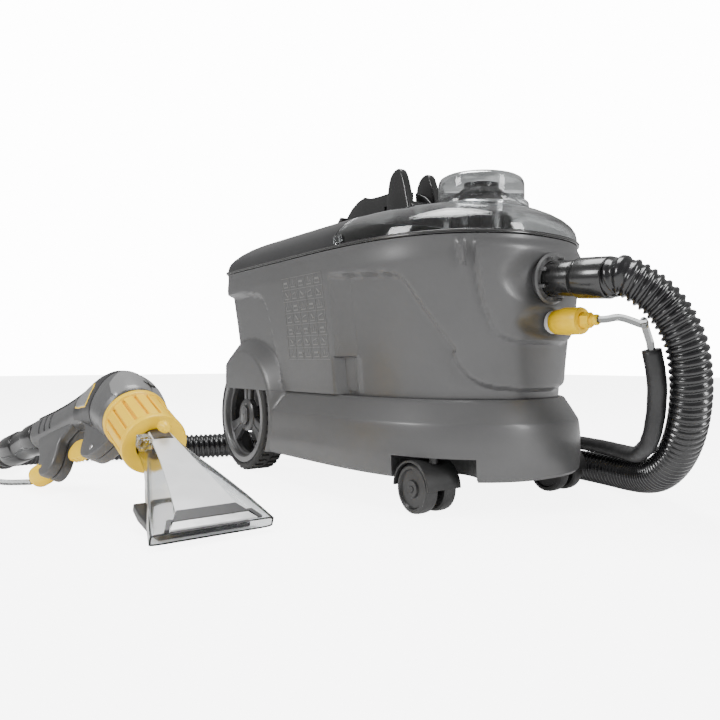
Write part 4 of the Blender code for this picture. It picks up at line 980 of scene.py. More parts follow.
LOBE = curve_round([(0.040, -0.034), (0.047, -0.060), (0.060, -0.077), (0.078, -0.084), (0.092, -0.077),
                    (0.105, -0.064),
                    (0.126, -0.058), (0.140, -0.066), (0.150, -0.060), (0.150, -0.045), (0.110, -0.025),
                    (0.060, -0.020)], 3)
BOSS = curve_round([(0.152, -0.070), (0.154, -0.098), (0.140, -0.112), (0.128, -0.126), (0.128, -0.142),
                    (0.140, -0.152),
                    (0.158, -0.150), (0.180, -0.140), (0.205, -0.134), (0.222, -0.120), (0.200, -0.090),
                    (0.175, -0.070)], 3)
for side, name in ((-1, "left"), (1, "right")):
    half = tool_half("tool_half", side)
    low, high = (0.0002, 0.0145) if side > 0 else (-0.0145, -0.0002)
    lobe = plate("lobe", LOBE, low, high, GUN, 0.0030, segments=4)
    boss = plate("boss", BOSS, low * 1.02, high * 1.02, GUN, 0.0040, segments=4)
    shell = joined([half, lobe, boss], "gun_shell_" + name + "_skin")
    settle(shell, TOOL_GREY, "tool_grey", "machine", "gun_shell_" + name)
    saddle = skin_band("gun_saddle_" + name, [(0.30, 78, -58), (0.36, 66, -66), (0.42, 52, -70),
                                              (0.50, 40, -64), (0.58, 30, -52),
                                              (0.66, 22, -44)], 0.0012, side)
    settle(saddle, TOOL_DARK, "tool_dark", "machine")
    line = skin_band("gun_inlay_line_" + name, [(0.385, 8, -14), (0.42, 18, -24), (0.50, 20, -22),
                                                (0.58, 16, -18),
                                                (0.64, 8, -10)], 0.0017, side)
    settle(line, YELLOW, "yellow", "machine")
    inlay = skin_band("gun_inlay_" + name, [(0.395, 5, -11), (0.425, 15, -21), (0.50, 17, -19),
                                            (0.58, 13, -15),
                                            (0.63, 5, -7)], 0.0023, side)
    settle(inlay, INLAY_GREY, "tool_grey", "machine")
    hood = skin_band("gun_hood_" + name, [(0.02, 89, 18), (0.10, 89, 14), (0.20, 89, 20), (0.27, 89, 46),
                                          (0.31, 89, 66)],
                     0.0010, side)
    settle(hood, INLAY_GREY, "tool_grey", "machine")
    grip = skin_band("gun_grip_" + name, [(0.46, 89.5, 66), (0.55, 89.5, 52), (0.66, 89.5, 40),
                                          (0.78, 89.5, 34), (0.90, 89.5, 34),
                                          (0.985, 89.5, 40)], 0.0019, side)
    settle(grip, GRIP_BLACK, "grip_black", "machine")
    for k in range(3):
        groove = skin_band("gun_rib_" + name + "_" + str(k), [(0.86 + 0.035 * k, 22, -30),
                                                              (0.868 + 0.035 * k, 22, -30)],
                           0.0010, side)
        settle(groove, TOOL_DARK, "tool_dark", "machine")
# A black oval cap stands in for the air hole. Its black is painted shade of the hole's inside.
hole = lathe("gun_air_hole", [(0.0098, 0.0), (0.0098, 0.0016), (0.0085, 0.0022), (0.0070, 0.0014)], 40,
             GUN @ Matrix.Translation((0.0, 0.0640, 0.0420)) @ Matrix.Rotation(radians(-4), 4,
                                                                               "X") @ Matrix.Diagonal((1,
                                                                                                       0.62,
                                                                                                       1, 1)))
settle(hole, PLASTIC_BLACK, "black_plastic", "machine")
collar = lathe("gun_neck_ring", [(0.0350, 0.0405), (0.0382, 0.0405), (0.0390, 0.0412), (0.0390, 0.0425),
                                 (0.0350, 0.0425)], 64,
               GUN @ Matrix.Rotation(radians(-90), 4, "X"), closed=True)
settle(collar, PLASTIC_BLACK, "black_plastic", "machine")
for side in (-1, 1):
    screw_place = GUN @ along((side * 0.0146, 0.0640, -0.0640), (side, 0, 0))
    screw = lathe("gun_screw_" + ("left" if side < 0 else "right"),
                  [(0.0036, 0.0), (0.0036, 0.0006), (0.0030, 0.0010), (0.0012, 0.0010), (0.0010, 0.0003)],
                  24, screw_place)
    settle(screw, STEEL, "steel", "machine")

# ---- hand tool: trigger, cuff and coupling -----------------------------------------------------
# Yellow trigger on a steel pin in the lower lobe, a black two-step cuff that carries the suction hose, and the
# sliding quick coupling of the spray line on its dark tail.
TRIGGER = curve_round([(-0.006, -0.004), (0.004, -0.010), (0.016, -0.025), (0.030, -0.035), (0.042, -0.037),
                       (0.051, -0.030),
                       (0.050, -0.016), (0.036, -0.004), (0.016, 0.005), (-0.002, 0.006)], 4)
PIVOT = GUN @ Matrix.Translation((0, 0.0800, -0.0700))
trigger_ribs = [slab("rib", (0.0112, 0.0018, 0.0016), (0, 0.0180 + 0.0065 * k, -0.0265 - 0.0045 * k), PIVOT,
                     0.0005)
                for k in range(3)]
trigger = joined([plate("trigger", TRIGGER, -0.0055, 0.0055, PIVOT, 0.0018, segments=4)] + trigger_ribs,
                 "spray_trigger_finger")
settle(trigger, YELLOW, "yellow", "spray_trigger", "spray_trigger")
pin = lathe("trigger_pin_turned", [(0.0016, -0.0140), (0.0020, -0.0136), (0.0020, 0.0136), (0.0016, 0.0140)],
            24,
            PIVOT @ Matrix.Rotation(radians(90), 4, "Y"))
settle(pin, STEEL, "steel", "machine", "trigger_pin")
valve = lathe("spray_valve_body", [(0.0074, 0.0), (0.0080, 0.0008), (0.0080, 0.0300), (0.0070, 0.0310),
                                   (0.0070, 0.0360),
                                   (0.0080, 0.0370), (0.0080, 0.0600), (0.0074, 0.0610)], 32,
              GUN @ along((0, 0.131, -0.027), (0, 0.045, -0.042)))
settle(valve, YELLOW, "yellow", "machine", "spray_valve")
CUFF_PLACE = GUN @ along((0.0, 0.2355, -0.1275), GUN_CUFF_LINE)
gun_cuff = lathe("gun_cuff_steps", [(0.0172, 0.0918), (0.0205, 0.0920), (0.0232, 0.0912), (0.0240, 0.0895),
                                    (0.0240, 0.0600),
                                    (0.0235, 0.0580), (0.0222, 0.0570), (0.0220, 0.0545), (0.0220, 0.0310),
                                    (0.0226, 0.0290),
                                    (0.0238, 0.0278), (0.0242, 0.0265), (0.0242, 0.0035), (0.0236, 0.0015),
                                    (0.0200, 0.0),
                                    (0.0172, 0.0)], 56, CUFF_PLACE, closed=True, edge=0.0004)
settle(gun_cuff, CUFF_BLACK, "hose_black", "machine", "gun_cuff")
BOSS_PLACE = GUN @ along(TOOL_COUPLING, TOOL_COUPLING_LINE)
tool_barrel = lathe("tool_coupling_barrel", [(0.0100, 0.0022), (0.0138, 0.0022), (0.0149, 0.0034),
                                             (0.0150, 0.0070), (0.0158, 0.0120),
                                             (0.0162, 0.0200), (0.0160, 0.0280), (0.0156, 0.0312),
                                             (0.0130, 0.0330),
                                             (0.0100, 0.0330)], 48, BOSS_PLACE, closed=True)
settle(tool_barrel, YELLOW, "yellow", "tool_coupling", "tool_coupling")
tool_tail = lathe("tool_hose_tail_stub", [(0.0090, 0.0020), (0.0092, 0.0028), (0.0092, 0.0325),
                                          (0.0080, 0.0345), (0.0062, 0.0360),
                                          (0.0060, 0.0400), (0.0066, 0.0412), (0.0056, 0.0440)], 32,
                  BOSS_PLACE)
settle(tool_tail, TOOL_DARK, "tool_dark", "machine", "tool_hose_tail")

# ---- union ring --------------------------------------------------------------------------------
# Yellow nut that clamps the nozzle to the tool: sixteen broad flat ribs between two smooth collars.
RING_PLACE = GUN @ Matrix.Rotation(radians(90), 4, "X")
ring = lathe("ring", [(0.0226, 0.0400), (0.0372, 0.0400), (0.0388, 0.0392), (0.0392, 0.0375),
                      (0.0392, 0.0310), (0.0384, 0.0290),
                      (0.0352, 0.0276), (0.0350, -0.0280), (0.0380, -0.0292), (0.0402, -0.0305),
                      (0.0406, -0.0320),
                      (0.0406, -0.0385), (0.0398, -0.0400), (0.0302, -0.0400), (0.0302, 0.0340),
                      (0.0226, 0.0340)],
             80, RING_PLACE, closed=True)
RING_RIBS = 16
ribs = []
for k in range(RING_RIBS):
    spin = RING_PLACE @ Matrix.Rotation(2 * pi * (k + 0.4) / RING_RIBS, 4, "Z")
    ribs.append(slab("rib", (0.0036, 0.0112, 0.0590), (0.0367, 0, -0.0002), spin, 0.0011, 3))
ring = joined([ring] + ribs, "union_ring_ribbed")
settle(ring, YELLOW, "yellow", "union_ring", "union_ring")

# ---- nozzle ------------------------------------------------------------------------------------
# Clear moulded nozzle: round neck that fans out flat to a wide lip, with thick rounded side walls. A frosted
# plate with a grey band covers its top, the spray jet sits beside the neck, and a grey adaptor clips under the lip.
CLEAR = clear_plastic("clear nozzle polymer", (0.93, 0.95, 0.96), 0.05, 0.0, 1.42)
FROST = moulded("frosted plate", (0.78, 0.79, 0.79), (0.86, 0.87, 0.87), 0.34, 1100, 0.12, 40, 0.10, 0.3)
BRUSHED = moulded("brushed strip", (0.50, 0.50, 0.50), (0.66, 0.66, 0.66), 0.30, 600, 0.20, 60, 0.20, 0.0,
                  0.6)
NOZZLE_ROWS = [(-0.0200, 0.0, 0.0205, 0.0205), (-0.0350, 0.0, 0.0205, 0.0205),
               (-0.0500, 0.0, 0.0210, 0.0203), (-0.0650, -0.0004, 0.0224, 0.0198),
               (-0.0800, -0.0009, 0.0248, 0.0191), (-0.1050, -0.0014, 0.0312, 0.0178),
               (-0.1300, -0.0019, 0.0388, 0.0164),
               (-0.1580, -0.0024, 0.0468, 0.0142), (-0.1850, -0.0029, 0.0544, 0.0119),
               (-0.2080, -0.0034, 0.0606, 0.0090),
               (-0.2300, -0.0040, 0.0660, 0.0066)]


def nozzle_ring(y, less):
    z, wide, tall = (float(np.interp(-y, [-row[0] for row in NOZZLE_ROWS],
                                     [row[k] for row in NOZZLE_ROWS])) for k in (1, 2, 3))
    power = 2 / (2.2 + 8 * (-y - 0.02) / 0.21)
    ring = []
    for k in range(64):
        c, s = cos(2 * pi * k / 64), sin(2 * pi * k / 64)
        ring.append(((wide - less) * abs(c) ** power * (1 if c >= 0 else -1), y,
                     z + (tall - less) * abs(s) ** power * (1 if s >= 0 else -1)))
    return ring


def top_of(x, y):
    z, wide, tall = (float(np.interp(-y, [-row[0] for row in NOZZLE_ROWS],
                                     [row[k] for row in NOZZLE_ROWS])) for k in (1, 2, 3))
    power = 2.2 + 8 * (-y - 0.02) / 0.21
    return z + tall * max(0.0, 1 - min(abs(x) / wide, 0.999) ** power) ** (1 / power)


outer = [nozzle_ring(-0.0200 - 0.2100 * k / 52, 0.0) for k in range(53)]
inner = [nozzle_ring(-0.0200 - 0.2100 * k / 52, 0.0022) for k in range(52, -1, -1)]
nozzle_points = [p for r in outer + inner for p in r]
nozzle_faces = []
loops = len(outer) + len(inner)
for k in range(loops):
    a, b = k * 64, (k + 1) % loops * 64
    nozzle_faces += [(a + j, b + j, b + (j + 1) % 64, a + (j + 1) % 64) for j in range(64)]
nozzle = new_piece("nozzle_body_clear", nozzle_points, nozzle_faces)
face_outwards(nozzle)
nozzle.data.transform(NOZZLE)
smooth_by_angle(nozzle, 50)
settle(nozzle, CLEAR, "clear_nozzle", "machine", "nozzle_body")


def top_plate(name, rows, out, thick):
    """A thin plate that follows the nozzle's top. rows are (y, left x, right x)."""
    points = []
    across, steps = 16, 6 * (len(rows) - 1)
    for lift in (out, out - thick):
        for k in range(steps + 1):
            y, left, right = (float(np.interp(k / 6, range(len(rows)),
                                              [row[c] for row in rows])) for c in range(3))
            for j in range(across + 1):
                x = left + (right - left) * j / across
                points.append((x, y, top_of(x, y) + lift))
    piece = walled(name, points, across, steps, NOZZLE)
    smooth_by_angle(piece, 40)
    return piece


settle(top_plate("nozzle_top_plate", [(-0.0440, -0.0120, 0.0120), (-0.0700, -0.0150, 0.0150),
                                      (-0.1100, -0.0190, 0.0190),
                                      (-0.1600, -0.0260, 0.0260), (-0.2060, -0.0330, 0.0330)], 0.0012,
                 0.0018),
       FROST, "clear_nozzle", "machine")
settle(top_plate("nozzle_neck_shade", [(-0.0420, -0.0100, 0.0100), (-0.0520, -0.0110, 0.0110),
                                       (-0.0640, -0.0115, 0.0115)],
                 0.0022, 0.0012), TOOL_DARK, "tool_dark", "machine")
settle(top_plate("nozzle_band", [(-0.2030, -0.0320, 0.0320), (-0.2150, -0.0390, 0.0390),
                                 (-0.2180, -0.0460, 0.0460)],
                 0.0024, 0.0030), TOOL_DARK, "tool_dark", "machine")
for side, name in ((-1, "left"), (1, "right")):
    edges = sorted((side * 0.0400, side * 0.0455)), sorted((side * 0.0470, side * 0.0520))
    settle(top_plate("nozzle_band_leg_" + name, [(-0.2150, *edges[0]), (-0.2290, *edges[1])], 0.0024, 0.0030),
           TOOL_DARK, "tool_dark", "machine")
settle(top_plate("nozzle_bright_strip", [(-0.2185, -0.0400, 0.0400), (-0.2290, -0.0462, 0.0462)], 0.0016,
                 0.0022),
       BRUSHED, "steel", "machine")
FOOT = [(-0.130, -0.0218), (-0.150, -0.0222), (-0.2115, -0.0145), (-0.2118, -0.0200), (-0.200, -0.0244),
        (-0.150, -0.0328),
        (-0.131, -0.0308)]
foot = plate("upholstery_adaptor_foot", FOOT, -0.0500, 0.0500, NOZZLE, 0.0016, segments=3)
settle(foot, TOOL_DARK, "tool_dark", "machine", "upholstery_adaptor")
jet = lathe("spray_jet_tip", [(0.0064, 0.0), (0.0070, 0.0006), (0.0070, 0.0088), (0.0058, 0.0106),
                              (0.0042, 0.0140), (0.0038, 0.0150)],
            32, NOZZLE @ Matrix.Translation((0, -0.0560, 0.0330)) @ Matrix.Rotation(radians(75), 4, "X"))
settle(jet, YELLOW, "yellow", "machine", "spray_jet")
settle(slab("nozzle_jet_block", (0.0150, 0.0180, 0.0150), (-0.0210, -0.0600, 0.0150), NOZZLE, 0.0020, 3),
       CLEAR, "clear_nozzle", "machine")

# ---- lid, dome and float -----------------------------------------------------------------------
# Clear moulded lid in front and a dark cover behind it, parted by a straight line across the machine. A round
# clear dome with a stepped foot stands on the lid over the black float cage. A black gasket runs under both.
RUBBER_SEAL = moulded("gasket rubber", (0.006, 0.006, 0.006), (0.012, 0.012, 0.012), 0.28, 600, 0.05, 30,
                      0.10, 0.4)
COVER_BLACK = moulded("cover polymer", (0.012, 0.012, 0.013), (0.020, 0.020, 0.021), 0.30, 1300, 0.10, 10,
                      0.12, 0.35)
GLOSS_BLACK = moulded("handle polymer", (0.008, 0.008, 0.008), (0.014, 0.014, 0.014), 0.26, 800, 0.05, 18,
                      0.10, 0.4)
CLEAR_LID = clear_plastic("clear lid polymer", (0.94, 0.955, 0.96), 0.04, 0.0, 1.40)
SMOKE = clear_plastic("smoked tank polymer", (0.50, 0.51, 0.52), 0.12, 0.0, 1.38)
TOP_ROWS = [(0.1640, -0.3390, 0.2668, 0.3378), (0.1636, -0.3384, 0.2650, 0.3440),
            (0.1622, -0.3366, 0.2595, 0.3505),
            (0.1585, -0.3322, 0.2490, 0.3570), (0.1522, -0.3244, 0.2352, 0.3640),
            (0.1425, -0.3122, 0.2160, 0.3715),
            (0.1300, -0.2980, 0.1950, 0.3780), (0.1130, -0.2860, 0.1770, 0.3828),
            (0.0950, -0.2760, 0.1600, 0.3860)]
LID_SPLIT, DOME_Y = -0.110, -0.221
top_marks = outline_marks(90, 34, 10, 16)


def top_shell(name, wall):
    """The whole top skin, one wall thick, from the lid's rim up to its flat crown."""
    outer = [np.column_stack([np.array(full_ring(top_marks, row[:3])),
                              np.full(2 * len(top_marks), row[3])]) for row in TOP_ROWS]
    inner = [np.column_stack([np.array(full_ring(top_marks, (row[0] - wall, row[1] + wall, row[2] - wall))),
                              np.full(2 * len(top_marks), row[3] - wall * min(1.0, k / 4))]) for k,
             row in enumerate(TOP_ROWS)]
    rings = outer + list(reversed(inner))
    count = len(rings[0])
    points = np.concatenate(rings) + np.array(MACHINE)
    faces = []
    for k in range(len(rings)):
        if k == len(outer) - 1:
            continue
        a, b = k * count, (k + 1) % len(rings) * count
        faces += [(a + j, a + (j + 1) % count, b + (j + 1) % count, b + j) for j in range(count)]
    faces.append(tuple(range((len(outer) - 1) * count, len(outer) * count)))
    faces.append(tuple(reversed(range(len(outer) * count, (len(outer) + 1) * count))))
    return new_piece(name, points, faces)


def block(name, low, high):
    """A plain square cutter between two corners of the machine."""
    deselect()
    bpy.ops.mesh.primitive_cube_add(size=1)
    cutter = bpy.context.object
    cutter.name = name
    low, high = MACHINE + Vector(low), MACHINE + Vector(high)
    cutter.data.transform(Matrix.Translation((low + high) / 2) @ Matrix.Diagonal((*(high - low), 1)))
    return cutter


lid = carve(top_shell("tank_lid_clear", 0.0024), [block("behind", (-0.3, LID_SPLIT - 0.0005, 0.2),
                                                        (0.3, 0.4, 0.5)),
                                                   drum("dome_hole", 0.0502, (0, DOME_Y, 0.33),
                                                        (0, DOME_Y, 0.40), 72)])
lid_bits = [slab("clip", (0.0050, 0.0140, 0.0100), MACHINE + Vector((side * 0.1625, -0.1180, 0.3440)),
                 Matrix(), 0.0012, 3)
            for side in (-1, 1)]
smooth_by_angle(lid, 32)
lid = joined([lid] + lid_bits, "tank_lid_clear")
settle(lid, CLEAR_LID, "clear_lid", "lid", "tank_lid")
dome_place = Matrix.Translation(MACHINE + Vector((0, DOME_Y, 0)))
dome = lathe("inspection_dome_clear", [(0.0532, 0.3863), (0.0640, 0.3863), (0.0640, 0.3915),
                                       (0.0632, 0.3930), (0.0592, 0.3945),
                                       (0.0582, 0.3965), (0.0580, 0.4175), (0.0574, 0.4215),
                                       (0.0556, 0.4247), (0.0528, 0.4264),
                                       (0.0480, 0.4275), (0.0060, 0.4275), (0.0060, 0.4252),
                                       (0.0475, 0.4252), (0.0520, 0.4240),
                                       (0.0542, 0.4218), (0.0556, 0.4170), (0.0556, 0.3985),
                                       (0.0545, 0.3960)],
             72, dome_place, closed=True)
cap = lathe("dome_crown", [(0.0061, 0.4252), (0.0061, 0.4275)], 24, dome_place)
dome = joined([dome, cap], "inspection_dome_clear")
settle(dome, CLEAR_LID, "clear_lid", "lid", "inspection_dome")
cage = lathe("float_cage_ribbed", [(0.0220, 0.4180), (0.0226, 0.4172), (0.0226, 0.4085), (0.0420, 0.3845),
                                   (0.0424, 0.3800),
                                   (0.0420, 0.3000), (0.0390, 0.3000), (0.0390, 0.3830), (0.0190, 0.4070),
                                   (0.0190, 0.4180)],
             48, dome_place, closed=True, edge=0.0003)
CAGE_RIBS = 16
cage_ribs = [slab("rib", (0.0016, 0.0030, 0.0700), (0.0424, 0, 0.3400),
                  dome_place @ Matrix.Rotation(2 * pi * k / CAGE_RIBS, 4, "Z"),
                  0.0004) for k in range(CAGE_RIBS)]
cage = joined([cage] + cage_ribs, "float_cage_ribbed")
settle(cage, PLASTIC_BLACK, "black_plastic", "lid", "float_cage")
float_ball = lathe("shut_off_float_body", [(0.0100, 0.3032), (0.0255, 0.3040), (0.0305, 0.3062),
                                           (0.0328, 0.3115), (0.0330, 0.3400),
                                           (0.0310, 0.3450), (0.0262, 0.3480), (0.0100, 0.3498)], 48,
                   dome_place)
settle(float_ball, YELLOW, "yellow", "float", "shut_off_float")

seal_rows = [(0.0022, 0.3332), (0.0000, 0.3328), (-0.0010, 0.3338), (-0.0002, 0.3347), (-0.0004, 0.3352),
             (-0.0012, 0.3360),
             (-0.0002, 0.3372), (0.0080, 0.3370), (0.0100, 0.3330)]
seal_rings = [np.column_stack([np.array(full_ring(marks, (0.1655 - less, -0.3405 + less, 0.2680 - less))),
                               np.full(2 * len(marks), z)]) for less, z in seal_rows]
seal = ring_solid("rim_seal_double", seal_rings + [seal_rings[0]], closed_ends=False)
face_outwards(seal, merge=True)
settle(seal, RUBBER_SEAL, "seal_rubber", "machine", "rim_seal")

# ---- rear cover and switches -------------------------------------------------------------------
# Dark cover over the motor bay with two switch wells in its slope, two lugs for the handle's pin and a row of
# air slots low in its back.
cover = carve(top_shell("rear_cover_skin", 0.0025),
              [block("ahead", (-0.3, -0.5, 0.2), (0.3, LID_SPLIT + 0.0005, 0.5))]
              + [block("well", (side * 0.030 - 0.0123, 0.1978, 0.352),
                       (side * 0.030 + 0.0123, 0.2314, 0.395)) for side in (-1, 1)]
              + [block("slot", (-0.078 + 0.012 * k, 0.2500, 0.3430),
                       (-0.072 + 0.012 * k, 0.2700, 0.3500)) for k in range(14)])
smooth_by_angle(cover, 32)
lugs = [slab("lug", (0.0080, 0.0200, 0.0170), MACHINE + Vector((side * 0.0400, 0.121, 0.3938)), Matrix(),
             0.0022, 3)
        for side in (-1, 1)]
cover = joined([cover] + lugs, "rear_cover_skin")
settle(cover, COVER_BLACK, "cover_black", "machine", "rear_cover")
ROCKER = curve_round([(-0.0150, 0.0028), (-0.0060, 0.0018), (0.0060, 0.0018), (0.0150, 0.0028),
                      (0.0148, -0.0055), (0.0080, -0.0105),
                      (-0.0080, -0.0105), (-0.0148, -0.0055)], 2)
for side, name, finish, slot in ((-1, "suction_switch", PLASTIC_BLACK, "black_plastic"),
                                 (1, "spray_switch", YELLOW, "yellow")):
    rocker_place = Matrix.Translation(MACHINE + Vector((side * 0.030, 0.2146,
                                                        0.3720))) @ Matrix.Rotation(radians(-24), 4, "X")
    rocker = plate(name + "_rocker", ROCKER, -0.0110, 0.0110, rocker_place, 0.0006)
    settle(rocker, finish, slot, name, name)

# ---- carrying handle ---------------------------------------------------------------------------
# Black moulded handle: a broad foot, a narrow bowed bar with room for the fingers, and two horns that cradle
# the hand tool. It swings back on a steel pin.
ARM = [(-0.106, 0.3875), (0.100, 0.3875), (0.115, 0.3885), (0.1275, 0.3900), (0.1285, 0.3935),
       (0.1285, 0.4000), (0.1265, 0.4040),
       (0.109, 0.4135), (0.095, 0.4262), (0.080, 0.4385), (0.062, 0.4470), (0.041, 0.4512), (0.034, 0.4490),
       (0.028, 0.4462),
       (0.000, 0.4450), (-0.055, 0.4445), (-0.080, 0.4330), (-0.106, 0.4100)]
handle = plate("carry_handle_bar", ARM, -0.0270, 0.0270, Matrix.Translation(MACHINE), 0)
carve(handle, [block("gap", (-0.05, -0.049, 0.3990), (0.05, -0.015, 0.4250))]
      + [block("waist", (side * 0.029 - 0.015, -0.055, 0.397), (side * 0.029 + 0.015, 0.095,
                                                                0.477)) for side in (-1, 1)]
      + [block("cradle", (-0.0170, -0.155, 0.4200), (0.0170, -0.055, 0.4800))])
round_edges(handle, 0.0016, 3, 40)
smooth_by_angle(handle, 40)
HORN = curve_round([(-0.1055, 0.3885), (-0.0780, 0.3878), (-0.0505, 0.3885), (-0.0480, 0.4200),
                    (-0.0535, 0.4520), (-0.0640, 0.4660),
                    (-0.0790, 0.4688), (-0.0880, 0.4580), (-0.0975, 0.4300)], 3)
horns = [plate("horn", HORN, side * 0.0270 - 0.0065, side * 0.0270 + 0.0065, Matrix.Translation(MACHINE),
               0.0028, segments=4)
         for side in (-1, 1)]
handle = joined([handle] + horns, "carry_handle_bar")
settle(handle, GLOSS_BLACK, "gloss_black", "carry_handle", "carry_handle")
handle_pin = lathe("handle_pin_turned", [(0.0024, -0.0440), (0.0030, -0.0434), (0.0030, 0.0434),
                                         (0.0024, 0.0440)], 24,
                   Matrix.Translation(MACHINE + Vector((0, 0.121, 0.397))) @ Matrix.Rotation(radians(90), 4,
                                                                                             "Y"))
settle(handle_pin, STEEL, "steel", "machine", "handle_pin")

# ---- rear wheels -------------------------------------------------------------------------------
# Grey rims with three spokes, a raised edge and a clipped six-sided hub cap; black tyres with square lugs.
TYRE = moulded("tyre rubber", (0.012, 0.012, 0.012), (0.024, 0.024, 0.023), 0.62, 700, 0.30, 30, 0.12)
WHEEL_GREY = moulded("wheel polymer", (0.050, 0.050, 0.051), (0.060, 0.060, 0.061), 0.36, 1200, 0.08, 16,
                     0.08, 0.2)
RIM_GREY = moulded("rim edge polymer", (0.120, 0.120, 0.122), (0.140, 0.140, 0.142), 0.32, 1200, 0.05, 16,
                   0.08, 0.2)
LUGS = 40                                    # square lugs in each of a tyre's two staggered rows
for side, name in ((-1, "left"), (1, "right")):
    body = "wheel_" + name
    hub = Matrix.Translation(MACHINE + Vector((side * 0.140, WHEEL_Y,
                                               WHEEL_Z))) @ Matrix.Rotation(radians(90) * side, 4, "Y")
    tyre = lathe("tyre", [(0.0801, 0.0212), (0.0815, 0.0219), (0.0845, 0.0220), (0.0872, 0.0208),
                          (0.0890, 0.0180), (0.0896, 0.0140),
                          (0.0896, -0.0140), (0.0890, -0.0180), (0.0872, -0.0208), (0.0845, -0.0220),
                          (0.0815, -0.0219),
                          (0.0801, -0.0212)], 96, hub, closed=True)
    lugs = []
    for k in range(LUGS):
        for half_step, lane in ((0, 0.0105), (1, -0.0105)):
            spin = hub @ Matrix.Rotation(pi * (2 * k + half_step) / LUGS, 4, "Z")
            lugs.append(slab("lug", (0.0042, 0.0078, 0.0150), (0.0897, 0, lane), spin, 0.0006, 1))
    settle(joined([tyre] + lugs, "tyre_" + name + "_lugged"), TYRE, "tyre_rubber", body, "tyre_" + name)
    spokes = [lathe("rim_drum", [(0.0797, -0.0209), (0.0797, 0.0196), (0.0788, 0.0212), (0.0700, 0.0212),
                                 (0.0684, 0.0200),
                                 (0.0668, 0.0140), (0.0640, 0.0122), (0.0640, 0.0050), (0.0700, 0.0030),
                                 (0.0760, -0.0209)],
                    96, hub, closed=True),
              lathe("hub_disc", [(0.0140, -0.0200), (0.0142, 0.0000), (0.0270, 0.0040), (0.0272, 0.0130),
                                 (0.0250, 0.0150),
                                 (0.0205, 0.0160), (0.0190, 0.0150)], 64, hub)]
    for k in range(3):
        turn = radians(60 + 120 * k + (60 if side < 0 else 0))
        arm = [(0.0200, -0.0105), (0.0400, -0.0125), (0.0655, -0.0195), (0.0655, 0.0195), (0.0400, 0.0125),
               (0.0200, 0.0105)]
        spokes.append(plate("spoke", arm, 0.0040, 0.0122, hub @ Matrix.Rotation(turn, 4, "Z"), 0.0014, "XY",
                            3))
        spokes.append(slab("spoke_ridge", (0.0400, 0.0030, 0.0030), (0.0440, 0, 0.0124),
                           hub @ Matrix.Rotation(turn, 4, "Z"), 0.0010))
    settle(joined(spokes, "rim_" + name + "_spoked"), WHEEL_GREY, "wheel_grey", body, "rim_" + name)
    bead = lathe("rim_bead_" + name, [(0.0700, 0.0210), (0.0706, 0.0217), (0.0780, 0.0217), (0.0788, 0.0209),
                                      (0.0744, 0.0200)],
                 96, hub, closed=True)
    settle(bead, RIM_GREY, "wheel_grey", body)
    hexed = [(-0.0178, 0.0), (-0.0098, 0.0122), (0.0098, 0.0122), (0.0178, 0.0), (0.0098, -0.0122),
             (-0.0098, -0.0122)]
    inner_hex = [(x * 0.78, y * 0.76) for x, y in hexed]
    hub_cap = joined([plate("cap", hexed, 0.0161, 0.0186, hub, 0.0008, "XY"),
                      plate("cap_face", inner_hex, 0.0180, 0.0194, hub, 0.0005, "XY"),
                      lathe("cap_dot", [(0.0026, 0.0190), (0.0026, 0.0200), (0.0014, 0.0203)], 20, hub)],
                     "hub_cap_" + name + "_clipped")
    settle(hub_cap, TOOL_GREY, "tool_grey", body, "hub_cap_" + name)

